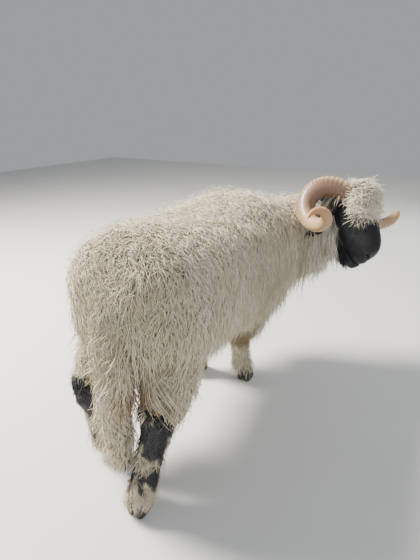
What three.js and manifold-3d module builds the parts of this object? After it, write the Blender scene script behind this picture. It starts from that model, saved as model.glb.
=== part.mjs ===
// A Valais Blacknose ram, life size, standing with its right hind leg set back
// and its head turned to its right. Millimetres: +X forward, +Y to the animal's
// left, +Z up. Every part is a body swept along a curve. The fleece has a core
// half way into the coat; its outer half is rounded clumps on the back and flat
// locks elsewhere, which are rooted in the core and follow the lie of the wool.
// Neighbouring parts are held clear of each other by thin cuts.
import * as THREE from "three";
import { mergeVertices } from "three/addons/utils/BufferGeometryUtils.js";
import Module from "manifold-3d";

const wasm = await Module();
wasm.setup();

const v3 = (x, y, z) => new THREE.Vector3(x, y, z);
const SIDES = { right: -1, left: 1 };
const PARTING = 0.35;
const EAR_CLEARANCE = 2;

// Driving sizes of the animal
const COAT = 70;
const BACK_HEIGHT = 804;
const WITHERS_HEIGHT = 822;
const BARREL_HALF_WIDTH = 230;
const RUMP_X = -86;
const CHEST_X = 902;
const HEAD_LENGTH = 262;
const HEAD_SCALE = 1.06;
const POLL = v3(922, -392, 782);
const HEAD_YAW = THREE.MathUtils.degToRad(-107.6);
const HEAD_ROLL = THREE.MathUtils.degToRad(-9.6);
const NOSE_DROP = THREE.MathUtils.degToRad(56);

// Planes that part the fleeced body
const THIGH_FRONT_X = 250;
const THIGH_TOP = 455;
const THIGH_HEM = 300;
const TORSO_HEM = 300;
const ARM_TOP = 352;
const ARM_HEM = 185;
const ARM_ZONE = { back: 530, front: 805, inner: 6 };
const NECK_CUT = { point: v3(815, -80, 660), normal: v3(0.6, -0.76, 0.22).normalize() };
const NECK_FLOOR = 440;

// A closed body carried along a curve. Each station of halves gives the half
// size to the side, the half size above and the half size below the curve.
// coat gives the depth of the coat at stations of its own. ends gives the share
// of the length that is rounded off at either end, and zero leaves that end
// flat; dome is the number of steps in such an end. geometry's grow moves the
// whole surface outwards, and its bare is the share of the coat that it leaves off.
class Loft {
  constructor({ path, halves, coat = [0, 0], sides, steps, ends, dome = 4, up = v3(0, 0, 1), square = 2 }) {
    this.path = path;
    this.sizes = new THREE.CatmullRomCurve3(halves.map((half) => v3(...half)), false, "catmullrom", 0.5);
    this.coat = new THREE.CatmullRomCurve3(coat.map((depth) => v3(depth, 0, 0)), false, "catmullrom", 0.5);
    this.dome = dome;
    this.ends = ends;
    this.sides = sides;
    this.steps = steps;
    this.up = up;
    this.power = 2 / square;
  }

  stations() {
    const [start, end] = this.ends;
    const list = [];
    if (start > 0) {
      for (let k = 1; k < this.dome; k += 1) {
        const turn = (k / this.dome) * (Math.PI / 2);
        list.push({ t: start * (1 - Math.cos(turn)), scale: Math.sin(turn), lean: -Math.cos(turn) });
      }
    }
    for (let k = 0; k <= this.steps; k += 1) {
      const t = start + (1 - start - end) * (k / this.steps);
      const lean = k === 0 && start === 0 ? -1 : k === this.steps && end === 0 ? 1 : 0;
      list.push({ t, scale: 1, lean });
    }
    if (end > 0) {
      for (let k = this.dome - 1; k > 0; k -= 1) {
        const turn = (k / this.dome) * (Math.PI / 2);
        list.push({ t: 1 - end * (1 - Math.cos(turn)), scale: Math.sin(turn), lean: Math.cos(turn) });
      }
    }
    return list;
  }

  frame(t) {
    const along = this.path.getTangent(t);
    const side = this.up.clone().cross(along).normalize();
    return { centre: this.path.getPoint(t), along, side, over: along.clone().cross(side) };
  }

  ring({ t, scale, lean }, growth, bare) {
    const grow = growth - bare * this.coat.getPoint(t).x;
    const { centre, along, side, over } = this.frame(t);
    const size = this.sizes.getPoint(t);
    const points = [];
    for (let j = 0; j < this.sides; j += 1) {
      const angle = (j / this.sides) * 2 * Math.PI;
      const c = Math.cos(angle);
      const s = Math.sin(angle);
      const across = Math.sign(c) * Math.abs(c) ** this.power * (size.x + grow) * scale;
      const height = Math.sign(s) * Math.abs(s) ** this.power * ((s > 0 ? size.y : size.z) + grow) * scale;
      points.push(
        centre.clone().addScaledVector(along, lean * grow).addScaledVector(side, across).addScaledVector(over, height),
      );
    }
    return points;
  }

  geometry(grow = 0, bare = 0) {
    const rings = this.stations().map((station) => this.ring(station, grow, bare));
    const tip = (t, way) => {
      const reach = grow - bare * this.coat.getPoint(t).x;
      return this.path.getPoint(t).addScaledVector(this.path.getTangent(t), way * reach);
    };
    return closedSkin(rings, tip(0, -1), tip(1, 1));
  }
}

// A lock or clump: a loft that starts inside the core, tapers to a point and
// keeps its broad side on the coat
class Lock extends Loft {
  constructor({ points, side, style, size }) {
    const halves = [style.wide, style.above, style.below].map((half) => half * size);
    super({ path: new THREE.CatmullRomCurve3(points), halves: [halves, halves], sides: style.sides, ends: [0, 0] });
    this.side = side;
    this.profile = style.profile;
  }

  stations() {
    return this.profile.map(([t, scale]) => ({ t, scale, lean: 0 }));
  }

  frame(t) {
    const along = this.path.getTangent(t);
    const side = this.side.clone().projectOnPlane(along).normalize();
    return { centre: this.path.getPoint(t), along, side, over: along.clone().cross(side) };
  }
}

// Joins rings of equal length into one closed skin with a point at either end.
function closedSkin(rings, first, last) {
  const count = rings[0].length;
  const points = [first, ...rings.flat(), last];
  const at = (ring, j) => 1 + ring * count + (j % count);
  const faces = [];
  for (let j = 0; j < count; j += 1) {
    faces.push(0, at(0, j + 1), at(0, j));
    for (let ring = 0; ring < rings.length - 1; ring += 1) {
      faces.push(at(ring, j), at(ring, j + 1), at(ring + 1, j));
      faces.push(at(ring, j + 1), at(ring + 1, j + 1), at(ring + 1, j));
    }
    faces.push(points.length - 1, at(rings.length - 1, j), at(rings.length - 1, j + 1));
  }
  const geometry = new THREE.BufferGeometry().setFromPoints(points);
  geometry.setIndex(faces);
  return geometry;
}

function solid(geometry) {
  const bare = geometry.clone();
  bare.deleteAttribute("normal");
  bare.deleteAttribute("uv");
  const merged = mergeVertices(bare, 1e-4);
  const mesh = new wasm.Mesh({
    numProp: 3,
    vertProperties: Float32Array.from(merged.attributes.position.array),
    triVerts: Uint32Array.from(merged.index.array),
  });
  return new wasm.Manifold(mesh);
}

function join(solids) {
  return solids.reduce((whole, piece) => whole.add(piece));
}

function cut(whole, tools) {
  return tools.reduce((rest, tool) => rest.subtract(tool), whole);
}

// Keeps what lies on the side of the plane that its normal points to.
function keep(whole, normal, point) {
  const unit = normal.clone().normalize();
  return whole.trimByPlane(unit.toArray(), unit.dot(point) + PARTING / 2);
}

function largest(whole) {
  const pieces = whole.decompose();
  return pieces.reduce((best, piece) => (piece.volume() > best.volume() ? piece : best));
}

// Seeded random numbers between zero and one
function randomNumbers(seed) {
  let state = seed;
  return () => {
    state = (state * 1664525 + 1013904223) % 4294967296;
    return state / 4294967296;
  };
}

// The outer skin of a solid, to find places on it
class Skin {
  constructor(whole) {
    const { vertProperties, triVerts } = whole.getMesh();
    const corner = (index) => v3(0, 0, 0).fromArray(vertProperties, 3 * triVerts[index]);
    this.area = 0;
    this.triangles = [];
    for (let k = 0; k < triVerts.length; k += 3) {
      const triangle = new THREE.Triangle(corner(k), corner(k + 1), corner(k + 2));
      this.area += triangle.getArea();
      this.triangles.push({ triangle, normal: triangle.getNormal(v3(0, 0, 0)), areaSoFar: this.area });
    }
  }

  nearest(point) {
    const best = { distance: Infinity };
    const spot = v3(0, 0, 0);
    for (const { triangle, normal } of this.triangles) {
      const distance = triangle.closestPointToPoint(point, spot).distanceTo(point);
      if (distance < best.distance) Object.assign(best, { distance, normal, point: spot.clone() });
    }
    return best;
  }

  // Roots spread evenly over the skin: random places, none nearer to another than the spacing
  scatter(spacing, random) {
    const roots = [];
    const tries = (30 * this.area) / spacing ** 2;
    for (let k = 0; k < tries; k += 1) {
      const pick = random() * this.area;
      const { triangle, normal } = this.triangles.find(({ areaSoFar }) => areaSoFar >= pick);
      const share = [random(), random()];
      if (share[0] + share[1] > 1) share.forEach((value, index) => (share[index] = 1 - value));
      const point = triangle.a.clone().multiplyScalar(1 - share[0] - share[1]);
      point.addScaledVector(triangle.b, share[0]).addScaledVector(triangle.c, share[1]);
      if (roots.every((root) => root.point.distanceTo(point) > spacing)) roots.push({ point, normal });
    }
    return roots;
  }
}

function curve(points) {
  return new THREE.CatmullRomCurve3(points.map((point) => v3(...point)), false, "catmullrom", 0.5);
}

const root = new THREE.Group();

function addNode(name, whole, finish) {
  const mesh = largest(whole).getMesh();
  const geometry = new THREE.BufferGeometry();
  geometry.setAttribute("position", new THREE.BufferAttribute(mesh.vertProperties, 3));
  geometry.setIndex(new THREE.BufferAttribute(mesh.triVerts, 1));
  geometry.computeVertexNormals();
  const node = new THREE.Mesh(geometry, new THREE.MeshStandardMaterial(finish));
  node.name = name;
  root.add(node);
}

const WOOL = { color: "#d8cdbb", roughness: 0.95, metalness: 0 };
const BLACK_HAIR = { color: "#17161a", roughness: 0.9, metalness: 0 };
const HORN = { color: "#d3ac84", roughness: 0.6, metalness: 0 };
const CLAW = { color: "#3a332d", roughness: 0.7, metalness: 0 };
const EYE = { color: "#3b2a18", roughness: 0.15, metalness: 0 };

// Trunk, from the rump to the chest
const trunk = new Loft({
  path: curve([
    [RUMP_X, -24, 625],
    [100, -20, 615],
    [300, -12, 605],
    [500, -6, 595],
    [690, -24, 585],
    [CHEST_X, -92, 548],
  ]),
  halves: [
    [200, 184, 184],
    [216, BACK_HEIGHT - 601, 220],
    [BARREL_HALF_WIDTH, BACK_HEIGHT - 603, 265],
    [BARREL_HALF_WIDTH, BACK_HEIGHT - 593, 278],
    [244, WITHERS_HEIGHT - 583, 280],
    [228, 186, 240],
  ],
  coat: [COAT, COAT],
  sides: 14,
  steps: 8,
  ends: [0.16, 0.11],
  square: 2.4,
});

// Neck, from inside the shoulders to the back of the head
const neck = new Loft({
  path: curve([
    [690, -10, 630],
    [806, -96, 640],
    [905, -205, 672],
    [962, -316, 712],
  ]),
  halves: [
    [165, 172, 205],
    [158, 145, 215],
    [136, 118, 218],
    [92, 84, 205],
  ],
  coat: [COAT, COAT],
  sides: 12,
  steps: 4,
  ends: [0.2, 0.22],
});

// Head in its own frame: X from the poll to the nose, Y to its left, Z out of the forehead
const pollFrame = new THREE.Matrix4().makeRotationZ(HEAD_YAW).setPosition(POLL);
pollFrame.multiply(new THREE.Matrix4().makeRotationX(HEAD_ROLL));
const headFrame = pollFrame.clone().multiply(new THREE.Matrix4().makeRotationY(NOSE_DROP));
headFrame.scale(v3(HEAD_SCALE, HEAD_SCALE, HEAD_SCALE));
const inHead = (geometry) => solid(geometry.applyMatrix4(headFrame));
const inPoll = (geometry) => solid(geometry.applyMatrix4(pollFrame));

const skull = new Loft({
  path: curve([
    [-50, 0, -8],
    [15, 0, 0],
    [75, 0, 2],
    [135, 0, 2],
    [190, 0, -4],
    [HEAD_LENGTH - 12, 0, -16],
  ]),
  halves: [
    [58, 46, 66],
    [68, 54, 84],
    [70, 62, 100],
    [60, 64, 94],
    [52, 58, 62],
    [47, 50, 36],
  ],
  sides: 16,
  steps: 9,
  dome: 3,
  ends: [0.16, 0.12],
  square: 2.2,
});

const lowerJaw = new Loft({
  path: curve([
    [95, 0, -58],
    [150, 0, -64],
    [200, 0, -66],
    [HEAD_LENGTH - 22, 0, -62],
  ]),
  halves: [
    [48, 34, 46],
    [42, 32, 40],
    [37, 26, 30],
    [33, 20, 24],
  ],
  sides: 12,
  steps: 4,
  dome: 3,
  ends: [0.2, 0.18],
});

const EYE_PLACE = { x: 92, y: 57, z: 22 };
const EYE_RADIUS = 16;
const LID_RADIUS = 20;

function eyeCentre(side) {
  return v3(EYE_PLACE.x, side * EYE_PLACE.y, EYE_PLACE.z);
}

function ball(radius, centre, wide, high) {
  return new THREE.SphereGeometry(radius, wide, high).translate(centre.x, centre.y, centre.z);
}

function lidBall(side, radius) {
  return ball(radius, eyeCentre(side), 10, 7);
}

// The opening between the lids: a long lens that looks outwards and a little forwards
function lidOpening(side) {
  const lens = new THREE.SphereGeometry(1, 10, 6).scale(14, 22, 7.5);
  lens.rotateZ(side * -0.15);
  lens.rotateY(0.35);
  return lens.translate(EYE_PLACE.x, side * (EYE_PLACE.y + 18), EYE_PLACE.z);
}

// A nostril is a comma that runs up and back from the tip of the nose
function nostril(side) {
  const path = curve([
    [HEAD_LENGTH + 2, side * 12, -4],
    [HEAD_LENGTH - 14, side * 22, 8],
    [HEAD_LENGTH - 26, side * 38, 20],
  ]);
  const halves = [[5, 4, 4], [6, 5, 5], [5, 4, 4]];
  return new Loft({ path, halves, sides: 6, steps: 2, ends: [0.2, 0.2], dome: 2 }).geometry();
}

// The mouth line: a thin curved slot between the lips
function mouthSlot() {
  const path = curve([
    [HEAD_LENGTH - 80, 0, -50],
    [HEAD_LENGTH - 40, 0, -47],
    [HEAD_LENGTH + 12, 0, -46],
  ]);
  return new Loft({ path, halves: [[60, 1, 1], [60, 1.2, 1.2], [60, 1.2, 1.2]], sides: 4, steps: 3, ends: [0, 0] });
}

function headBody(grow) {
  return join([inHead(skull.geometry(grow)), inHead(lowerJaw.geometry(grow))]);
}

function buildHead() {
  const lids = Object.values(SIDES).map((side) => inHead(lidBall(side, LID_RADIUS)));
  const tools = Object.values(SIDES).flatMap((side) => [
    inHead(lidBall(side, EYE_RADIUS + PARTING)),
    inHead(lidOpening(side)),
    inHead(nostril(side)),
  ]);
  return cut(join([headBody(0), ...lids]), [...tools, inHead(mouthSlot().geometry())]);
}

// Horn: a spiral in the upright plane beside the head, drawn out sideways. It starts
// turned up and back and winds on while its radius shrinks and its centre drifts.
const HORN_FIRST_TURN = 35;
const HORN_TURNS = 492;
const HORN_RADIUS = 111;
const HORN_TIGHTENING = 0.16;
const HORN_CENTRE = v3(-54, 50, -28);
const HORN_DRIFT = v3(143, 292, -43);

class HornCurve extends THREE.Curve {
  constructor(side) {
    super();
    this.side = side;
  }

  getPoint(t, target = v3(0, 0, 0)) {
    const turn = THREE.MathUtils.degToRad(HORN_FIRST_TURN + t * HORN_TURNS);
    const radius = HORN_RADIUS * Math.exp(-HORN_TIGHTENING * turn);
    return target.set(
      HORN_CENTRE.x + HORN_DRIFT.x * t + radius * Math.cos(turn),
      this.side * (HORN_CENTRE.y + HORN_DRIFT.y * t ** 0.8),
      HORN_CENTRE.z + HORN_DRIFT.z * t + radius * Math.sin(turn),
    );
  }
}

function horn(side) {
  return new Loft({
    path: new HornCurve(side),
    halves: [
      [34, 34, 34],
      [34, 35, 35],
      [29, 29, 29],
      [24, 24, 24],
      [18, 18, 18],
      [11, 12, 12],
      [3, 3, 3],
    ],
    sides: 8,
    steps: 26,
    ends: [0, 0.03],
    up: v3(0, 1, 0),
    square: 2.3,
  });
}

// Ear: a leaf with a hollow front, held out and back under the horn
function earGeometry(side, grow) {
  const path = curve([
    [10, side * 56, -52],
    [-8, side * 82, -80],
    [-36, side * 96, -114],
    [-70, side * 100, -150],
  ]);
  const halfWidths = new THREE.CatmullRomCurve3([v3(16, 0, 0), v3(31, 0, 0), v3(27, 0, 0), v3(4, 0, 0)]);
  const rings = [];
  const steps = 9;
  const arc = 5;
  const wall = 5;
  for (let k = 0; k <= steps; k += 1) {
    const t = k / steps;
    const along = path.getTangent(t);
    const across = v3(0.75, side * 0.35, -0.55).cross(along).normalize();
    const face = along.clone().cross(across);
    const half = halfWidths.getPoint(t).x + grow;
    const ring = [];
    for (const [layer, sign] of [[0, 1], [wall + 2 * grow, -1]]) {
      for (let j = 0; j <= arc; j += 1) {
        const angle = sign * THREE.MathUtils.lerp(-1.25, 1.25, j / arc);
        const curl = half * 0.55 * (1 - Math.cos(angle)) + layer * Math.cos(angle * 0.9) - grow;
        const reach = (half - (layer ? 1 : 0)) * Math.sin(angle) * 1.05;
        ring.push(path.getPoint(t).addScaledVector(across, reach).addScaledVector(face, curl));
      }
    }
    rings.push(ring);
  }
  return closedSkin(rings, path.getPoint(0), path.getPoint(1).addScaledVector(path.getTangent(1), grow + 2));
}

// Forelock: a cushion of curls over the poll and the brow
const forelock = new Loft({
  path: curve([
    [-48, 0, 36],
    [8, 0, 50],
    [70, 0, 54],
    [130, 0, 54],
  ]),
  halves: [
    [60, 48, 40],
    [84, 67, 40],
    [86, 59, 40],
    [60, 40, 36],
  ],
  coat: [26, 26],
  sides: 14,
  steps: 5,
  ends: [0.25, 0.3],
});

// Tail, hanging between the thighs
const tail = new Loft({
  path: curve([
    [-10, -24, 685],
    [-48, -32, 590],
    [-66, -40, 440],
    [-66, -40, 270],
    [-60, -34, 100],
  ]),
  halves: [
    [58, 45, 45],
    [68, 48, 50],
    [62, 46, 50],
    [56, 42, 44],
    [40, 34, 34],
  ],
  coat: [36, 44, 44, 40, 36],
  sides: 12,
  steps: 8,
  ends: [0.06, 0.1],
  up: v3(1, 0, 0),
});

// Joints of the legs, as [x, y, z], and where each foot stands
const HIND = {
  right: { hip: [122, -116, 620], stifle: [110, -132, 500], shin: [44, -140, 385], hock: [-5, -140, 272] },
  left: { hip: [122, 104, 620], stifle: [118, 116, 500], shin: [56, 128, 390], hock: [10, 134, 280] },
};
const FORE = {
  right: { elbow: [666, -126, 430], knee: [650, -74, 248], fetlock: [658, -88, 82] },
  left: { elbow: [644, 122, 430], knee: [620, 108, 248], fetlock: [612, 112, 82] },
};
const TOES = {
  hind: { right: v3(-84, -114, 0), left: v3(66, 128, 0) },
  fore: { right: v3(676, -96, 0), left: v3(630, 112, 0) },
};
const CLAW_HEIGHT = 42;

// Hind thighs in their woolly trousers, down to just below the hock
function thigh(side) {
  const { hip, stifle, shin, hock } = HIND[side];
  return new Loft({
    path: curve([hip, stifle, shin, hock, [hock[0] - 6, hock[1], hock[2] - 40]]),
    halves: [
      [88, 130, 140],
      [88, 142, 116],
      [70, 110, 74],
      [52, 68, 54],
      [48, 54, 52],
    ],
    coat: [COAT, 60, 36, 16, 10],
    sides: 12,
    steps: 6,
    ends: [0.15, 0],
    up: v3(1, 0, 0),
  });
}

// Upper forelegs in wool, down to below the knee
function arm(side) {
  const { elbow, knee, fetlock } = FORE[side];
  return new Loft({
    path: curve([
      [elbow[0] + 10, elbow[1], 560],
      elbow,
      v3(...elbow).lerp(v3(...knee), 0.62).toArray(),
      knee,
      v3(...knee).lerp(v3(...fetlock), 0.4).toArray(),
    ]),
    halves: [
      [105, 120, 95],
      [102, 112, 88],
      [82, 84, 72],
      [52, 54, 54],
      [41, 42, 44],
    ],
    coat: [COAT, 64, 44, 14, 10],
    sides: 12,
    steps: 6,
    ends: [0.2, 0],
    up: v3(1, 0, 0),
  });
}

function shank(path, halves) {
  return new Loft({ path: curve(path), halves, sides: 12, steps: 7, ends: [0, 0], up: v3(1, 0, 0) });
}

function hindShank(side) {
  const { hock } = HIND[side];
  const toe = TOES.hind[side];
  const fetlock = v3(...hock).lerp(toe, 0.72);
  const path = [
    [hock[0] + 4, hock[1], hock[2] + 60],
    hock,
    v3(...hock).lerp(fetlock, 0.5).toArray(),
    [fetlock.x - 4, fetlock.y, 82],
    [toe.x + 2, toe.y, CLAW_HEIGHT - 8],
  ];
  return shank(path, [[52, 54, 54], [48, 52, 54], [42, 44, 46], [44, 44, 48], [33, 34, 30]]);
}

function foreShank(side) {
  const { knee, fetlock } = FORE[side];
  const toe = TOES.fore[side];
  const path = [
    knee,
    v3(...knee).lerp(v3(...fetlock), 0.35).toArray(),
    v3(...knee).lerp(v3(...fetlock), 0.7).toArray(),
    fetlock,
    [toe.x + 2, toe.y, CLAW_HEIGHT - 8],
  ];
  return shank(path, [[44, 46, 46], [38, 40, 40], [36, 37, 38], [39, 40, 42], [33, 34, 30]]);
}

// One claw of the cloven foot, standing flat on its sole
function claw(toe, half) {
  const y = toe.y + half * 15;
  return new Loft({
    path: curve([
      [toe.x + 7, y, -12],
      [toe.x + 4, y, 20],
      [toe.x + 1, y, CLAW_HEIGHT + 8],
    ]),
    halves: [
      [14, 38, 30],
      [14, 32, 30],
      [13.5, 24, 26],
    ],
    sides: 10,
    steps: 2,
    ends: [0, 0],
    up: v3(1, 0, 0),
    square: 2.6,
  });
}

const horns = { right: inPoll(horn(-1).geometry()), left: inPoll(horn(1).geometry()) };
const hornRooms = Object.values(SIDES).map((side) => inPoll(horn(side).geometry(PARTING)));
const earRooms = Object.values(SIDES).map((side) => inPoll(earGeometry(side, EAR_CLEARANCE)));
const lidRooms = Object.values(SIDES).map((side) => inHead(lidBall(side, LID_RADIUS + PARTING)));
const headRoom = join([headBody(PARTING), ...lidRooms]);
const headRooms = [headRoom, ...hornRooms, ...earRooms];

// Kinds of lock. A clump stands up as a low dome and a lock lies along the coat.
// wide, above and below are half sizes, deep is how far under the tips it is
// rooted, and profile lists the share of the length and of the size at each ring.
const CLUMP_RINGS = [[0, 1], [0.62, 0.93], [0.86, 0.62]];
const LOCK_RINGS = [[0, 0.7], [0.4, 1], [0.72, 0.84]];
const LOCKS = {
  clump: { sides: 6, wide: 92, above: 84, below: 84, deep: 56, length: 24, wave: 0, profile: CLUMP_RINGS },
  body: { sides: 4, wide: 60, above: 17, below: 24, deep: 52, length: 158, wave: 12, profile: LOCK_RINGS },
  leg: { sides: 4, wide: 44, above: 11, below: 18, deep: 38, length: 96, wave: 9, profile: LOCK_RINGS },
  tail: { sides: 4, wide: 36, above: 13, below: 18, deep: 32, length: 104, wave: 12, profile: LOCK_RINGS },
  brow: { sides: 4, wide: 27, above: 10, below: 14, deep: 24, length: 70, wave: 8, profile: LOCK_RINGS },
};
const CLUMP_FACING_UP = 0.5;
const TIP_LIFT = 5;

// A lock's root lies behind the place where it leaves the skin by a share of how
// deep it is, and its middle line runs under the coat's surface by a share of
// its upper half, so that its back is level with the coat
const ROOT_BEHIND = 0.8;
const LINE_UNDER = 0.8;
const LEAVES_SKIN = 0.1;

// One lock, rooted under a place on the skin and led along it by the pull of gravity
function lock({ point, normal }, skin, pull, style, random) {
  const size = THREE.MathUtils.lerp(0.86, 1.14, random());
  const wave = style.wave * (random() - 0.5) * 2;
  const lie = pull.clone().projectOnPlane(normal).normalize();
  const side = normal.clone().cross(lie);
  const root = point.clone().addScaledVector(normal, -style.deep);
  if (style === LOCKS.clump) {
    const tip = point.clone().addScaledVector(lie, style.length).addScaledVector(normal, TIP_LIFT);
    return new Lock({ points: [root, tip], side, style, size });
  }
  root.addScaledVector(lie, -ROOT_BEHIND * style.deep);
  const reach = style.length * size;
  const start = point.clone().addScaledVector(normal, -LINE_UNDER * style.above);
  start.addScaledVector(lie, LEAVES_SKIN * reach);
  const halfWay = skin.nearest(point.clone().addScaledVector(lie, reach / 2).addScaledVector(side, wave));
  const onward = pull.clone().projectOnPlane(halfWay.normal).normalize();
  const end = skin.nearest(halfWay.point.clone().addScaledVector(onward, reach / 2).addScaledVector(side, -wave));
  const middle = halfWay.point.clone().addScaledVector(halfWay.normal, -LINE_UNDER * style.above);
  const tip = end.point.clone().addScaledVector(end.normal, TIP_LIFT);
  return new Lock({ points: [root, start, middle, tip], side, style, size });
}

function grow(locks, growth) {
  return locks.map((piece) => solid(piece.geometry(growth)));
}

// Locks all over a skin, where wanted allows, in the style that styleOf gives
function coatOf(skin, { spacing, seed, pull, wanted, styleOf }) {
  const random = randomNumbers(seed);
  const roots = skin.scatter(spacing, random).filter(wanted);
  return roots.map((root) => ({ root: root.point, piece: lock(root, skin, pull, styleOf(root), random) }));
}

const thighs = Object.keys(SIDES).map((side) => thigh(side));
const arms = Object.keys(SIDES).map((side) => arm(side));
const bodyLofts = [trunk, neck, ...thighs, ...arms];
const bodySkin = new Skin(join(bodyLofts.map((loft) => solid(loft.geometry()))));
const bodyCore = join(bodyLofts.map((loft) => solid(loft.geometry(0, 0.5))));

function block(low, high) {
  const size = high.clone().sub(low);
  const middle = low.clone().add(high).multiplyScalar(0.5);
  return solid(new THREE.BoxGeometry(size.x, size.y, size.z).translate(middle.x, middle.y, middle.z));
}

const UP = v3(0, 0, 1);
const DOWN = v3(0, 0, -1);
const FORWARD = v3(1, 0, 0);
const BACKWARD = v3(-1, 0, 0);

// The planes that bound each woolly region, each with the normal towards the region
const neckSide = NECK_CUT.normal;
const REGIONS = {
  neck: [[neckSide, NECK_CUT.point], [UP, v3(0, 0, NECK_FLOOR)]],
  ...Object.fromEntries(Object.entries(SIDES).flatMap(([side, sign]) => [
    [`hind_${side}_thigh`, [
      [BACKWARD, v3(THIGH_FRONT_X, 0, 0)],
      [v3(0, sign, 0), v3(0, 0, 0)],
      [DOWN, v3(0, 0, THIGH_TOP)],
    ]],
    [`fore_${side}_arm`, [
      [FORWARD, v3(ARM_ZONE.back, 0, 0)],
      [BACKWARD, v3(ARM_ZONE.front, 0, 0)],
      [v3(0, sign, 0), v3(0, sign * ARM_ZONE.inner, 0)],
      [DOWN, v3(0, 0, ARM_TOP)],
    ]],
  ])),
};

function regionOf(point) {
  const holds = (planes) => planes.every(([normal, at]) => normal.dot(point.clone().sub(at)) > 0);
  const found = Object.entries(REGIONS).find(([, planes]) => holds(planes));
  return found ? found[0] : "torso";
}

const WOOL_PULL = v3(-0.35, 0, -1);
const inLegs = (name) => name.startsWith("hind") || name.startsWith("fore");
const trunkCoat = coatOf(bodySkin, {
  spacing: 110,
  seed: 8,
  pull: WOOL_PULL,
  wanted: ({ point }) => !inLegs(regionOf(point)),
  styleOf: ({ normal }) => (normal.z > CLUMP_FACING_UP ? LOCKS.clump : LOCKS.body),
}).filter(({ piece }) => piece.path.points.at(-1).z > TORSO_HEM);
const legCoat = coatOf(bodySkin, {
  spacing: 86,
  seed: 5,
  pull: WOOL_PULL,
  wanted: ({ point, normal }) => {
    const name = regionOf(point);
    const lowest = name.startsWith("hind") ? THIGH_HEM + 20 : ARM_HEM + 20;
    return inLegs(name) && point.z > lowest && normal.y * Math.sign(point.y) > -0.4;
  },
  styleOf: () => LOCKS.leg,
});
const bodyCoat = [...trunkCoat, ...legCoat];
const locksOf = (name) => bodyCoat.filter(({ root }) => regionOf(root) === name).map(({ piece }) => piece);

const tailSkin = new Skin(solid(tail.geometry()));
const tailLocks = coatOf(tailSkin, {
  spacing: 78,
  seed: 3,
  pull: v3(-0.1, 0, -1),
  wanted: ({ point, normal }) => point.z > 190 && normal.x < 0.55 && Math.abs(normal.z) < 0.8,
  styleOf: () => LOCKS.tail,
}).map(({ piece }) => piece);
const tailCore = solid(tail.geometry(0, 0.5));
const tailRoom = join([solid(tail.geometry(PARTING, 0.5)), ...grow(tailLocks, PARTING)]);

function inRegion(whole, name) {
  return REGIONS[name].reduce((rest, [normal, at]) => keep(rest, normal, at), whole);
}

// Torso: everything that is left of the core, with its locks hanging over the legs
const neckLocks = locksOf("neck");
const neckLockRoom = join(grow(neckLocks, PARTING));
const hindZone = block(v3(-400, -400, 0), v3(THIGH_FRONT_X + PARTING, 400, THIGH_TOP + PARTING));
const armZones = Object.values(SIDES).map((side) => {
  const inner = side * (ARM_ZONE.inner - PARTING);
  const low = v3(ARM_ZONE.back - PARTING, Math.min(inner, side * 400), 0);
  const high = v3(ARM_ZONE.front + PARTING, Math.max(inner, side * 400), ARM_TOP + PARTING);
  return block(low, high);
});
const torsoLocks = locksOf("torso");
const torsoWhole = join([cut(bodyCore, [hindZone, ...armZones]), ...grow(torsoLocks, 0)]);
const behindNeck = keep(torsoWhole, neckSide.clone().negate(), NECK_CUT.point);
const underNeck = keep(torsoWhole, DOWN, v3(0, 0, NECK_FLOOR));
addNode("torso", cut(join([behindNeck, underNeck]), [neckLockRoom, tailRoom]), WOOL);
const torsoLockRoom = join(grow(torsoLocks, PARTING));

addNode("neck", cut(join([inRegion(bodyCore, "neck"), ...grow(neckLocks, 0)]), headRooms), WOOL);
addNode("tail", join([tailCore, ...grow(tailLocks, 0)]), WOOL);
addNode("head", buildHead(), BLACK_HAIR);

// Forelock: locks that fall from the crown over the brow
const browSkin = new Skin(solid(forelock.geometry()));
const browLocks = coatOf(browSkin, {
  spacing: 58,
  seed: 5,
  pull: v3(0.8, 0, -0.6),
  wanted: ({ normal }) => normal.z > -0.3,
  styleOf: () => LOCKS.brow,
}).map(({ piece }) => inHead(piece.geometry()));
const forelockWhole = join([inHead(forelock.geometry(0, 0.5)), ...browLocks]);
const neckRoom = join([solid(neck.geometry(PARTING, 0.5)), neckLockRoom]);
addNode("forelock", cut(forelockWhole, [...headRooms, neckRoom]), WOOL);

for (const [side, sign] of Object.entries(SIDES)) {
  addNode(`horn_${side}`, cut(horns[side], [headRoom]), HORN);
  addNode(`ear_${side}`, cut(inPoll(earGeometry(sign, 0)), [headRoom, ...hornRooms]), BLACK_HAIR);
  addNode(`eye_${side}`, inHead(lidBall(sign, EYE_RADIUS)), EYE);

  const limbs = [
    { name: `hind_${side}_thigh`, shank: hindShank(side), hem: THIGH_HEM, under: `hind_${side}_shank` },
    { name: `fore_${side}_arm`, shank: foreShank(side), hem: ARM_HEM, under: `fore_${side}_shank` },
  ];
  for (const { name, shank: bone, hem, under } of limbs) {
    const locks = locksOf(name);
    const core = keep(inRegion(bodyCore, name), UP, v3(0, 0, hem));
    const covered = inRegion(join([core, ...grow(locks, 0)]), name);
    addNode(name, cut(covered, [torsoLockRoom, tailRoom, neckLockRoom]), WOOL);
    const bare = keep(keep(solid(bone.geometry()), UP, v3(0, 0, CLAW_HEIGHT)), DOWN, v3(0, 0, hem));
    addNode(under, cut(bare, [join(grow(locks, PARTING)), tailRoom, torsoLockRoom]), BLACK_HAIR);
  }

  for (const [place, half] of [["inner", -sign], ["outer", sign]]) {
    for (const end of ["hind", "fore"]) {
      const whole = keep(solid(claw(TOES[end][side], half).geometry()), UP, v3(0, 0, 0));
      addNode(`${end}_${side}_claw_${place}`, keep(whole, DOWN, v3(0, 0, CLAW_HEIGHT)), CLAW);
    }
  }
}

// The origin lies on the ground, under the middle of the whole animal
const box = new THREE.Box3().setFromObject(root);
root.position.set(-(box.min.x + box.max.x) / 2, -(box.min.y + box.max.y) / 2, -box.min.z);

export default root;
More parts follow.
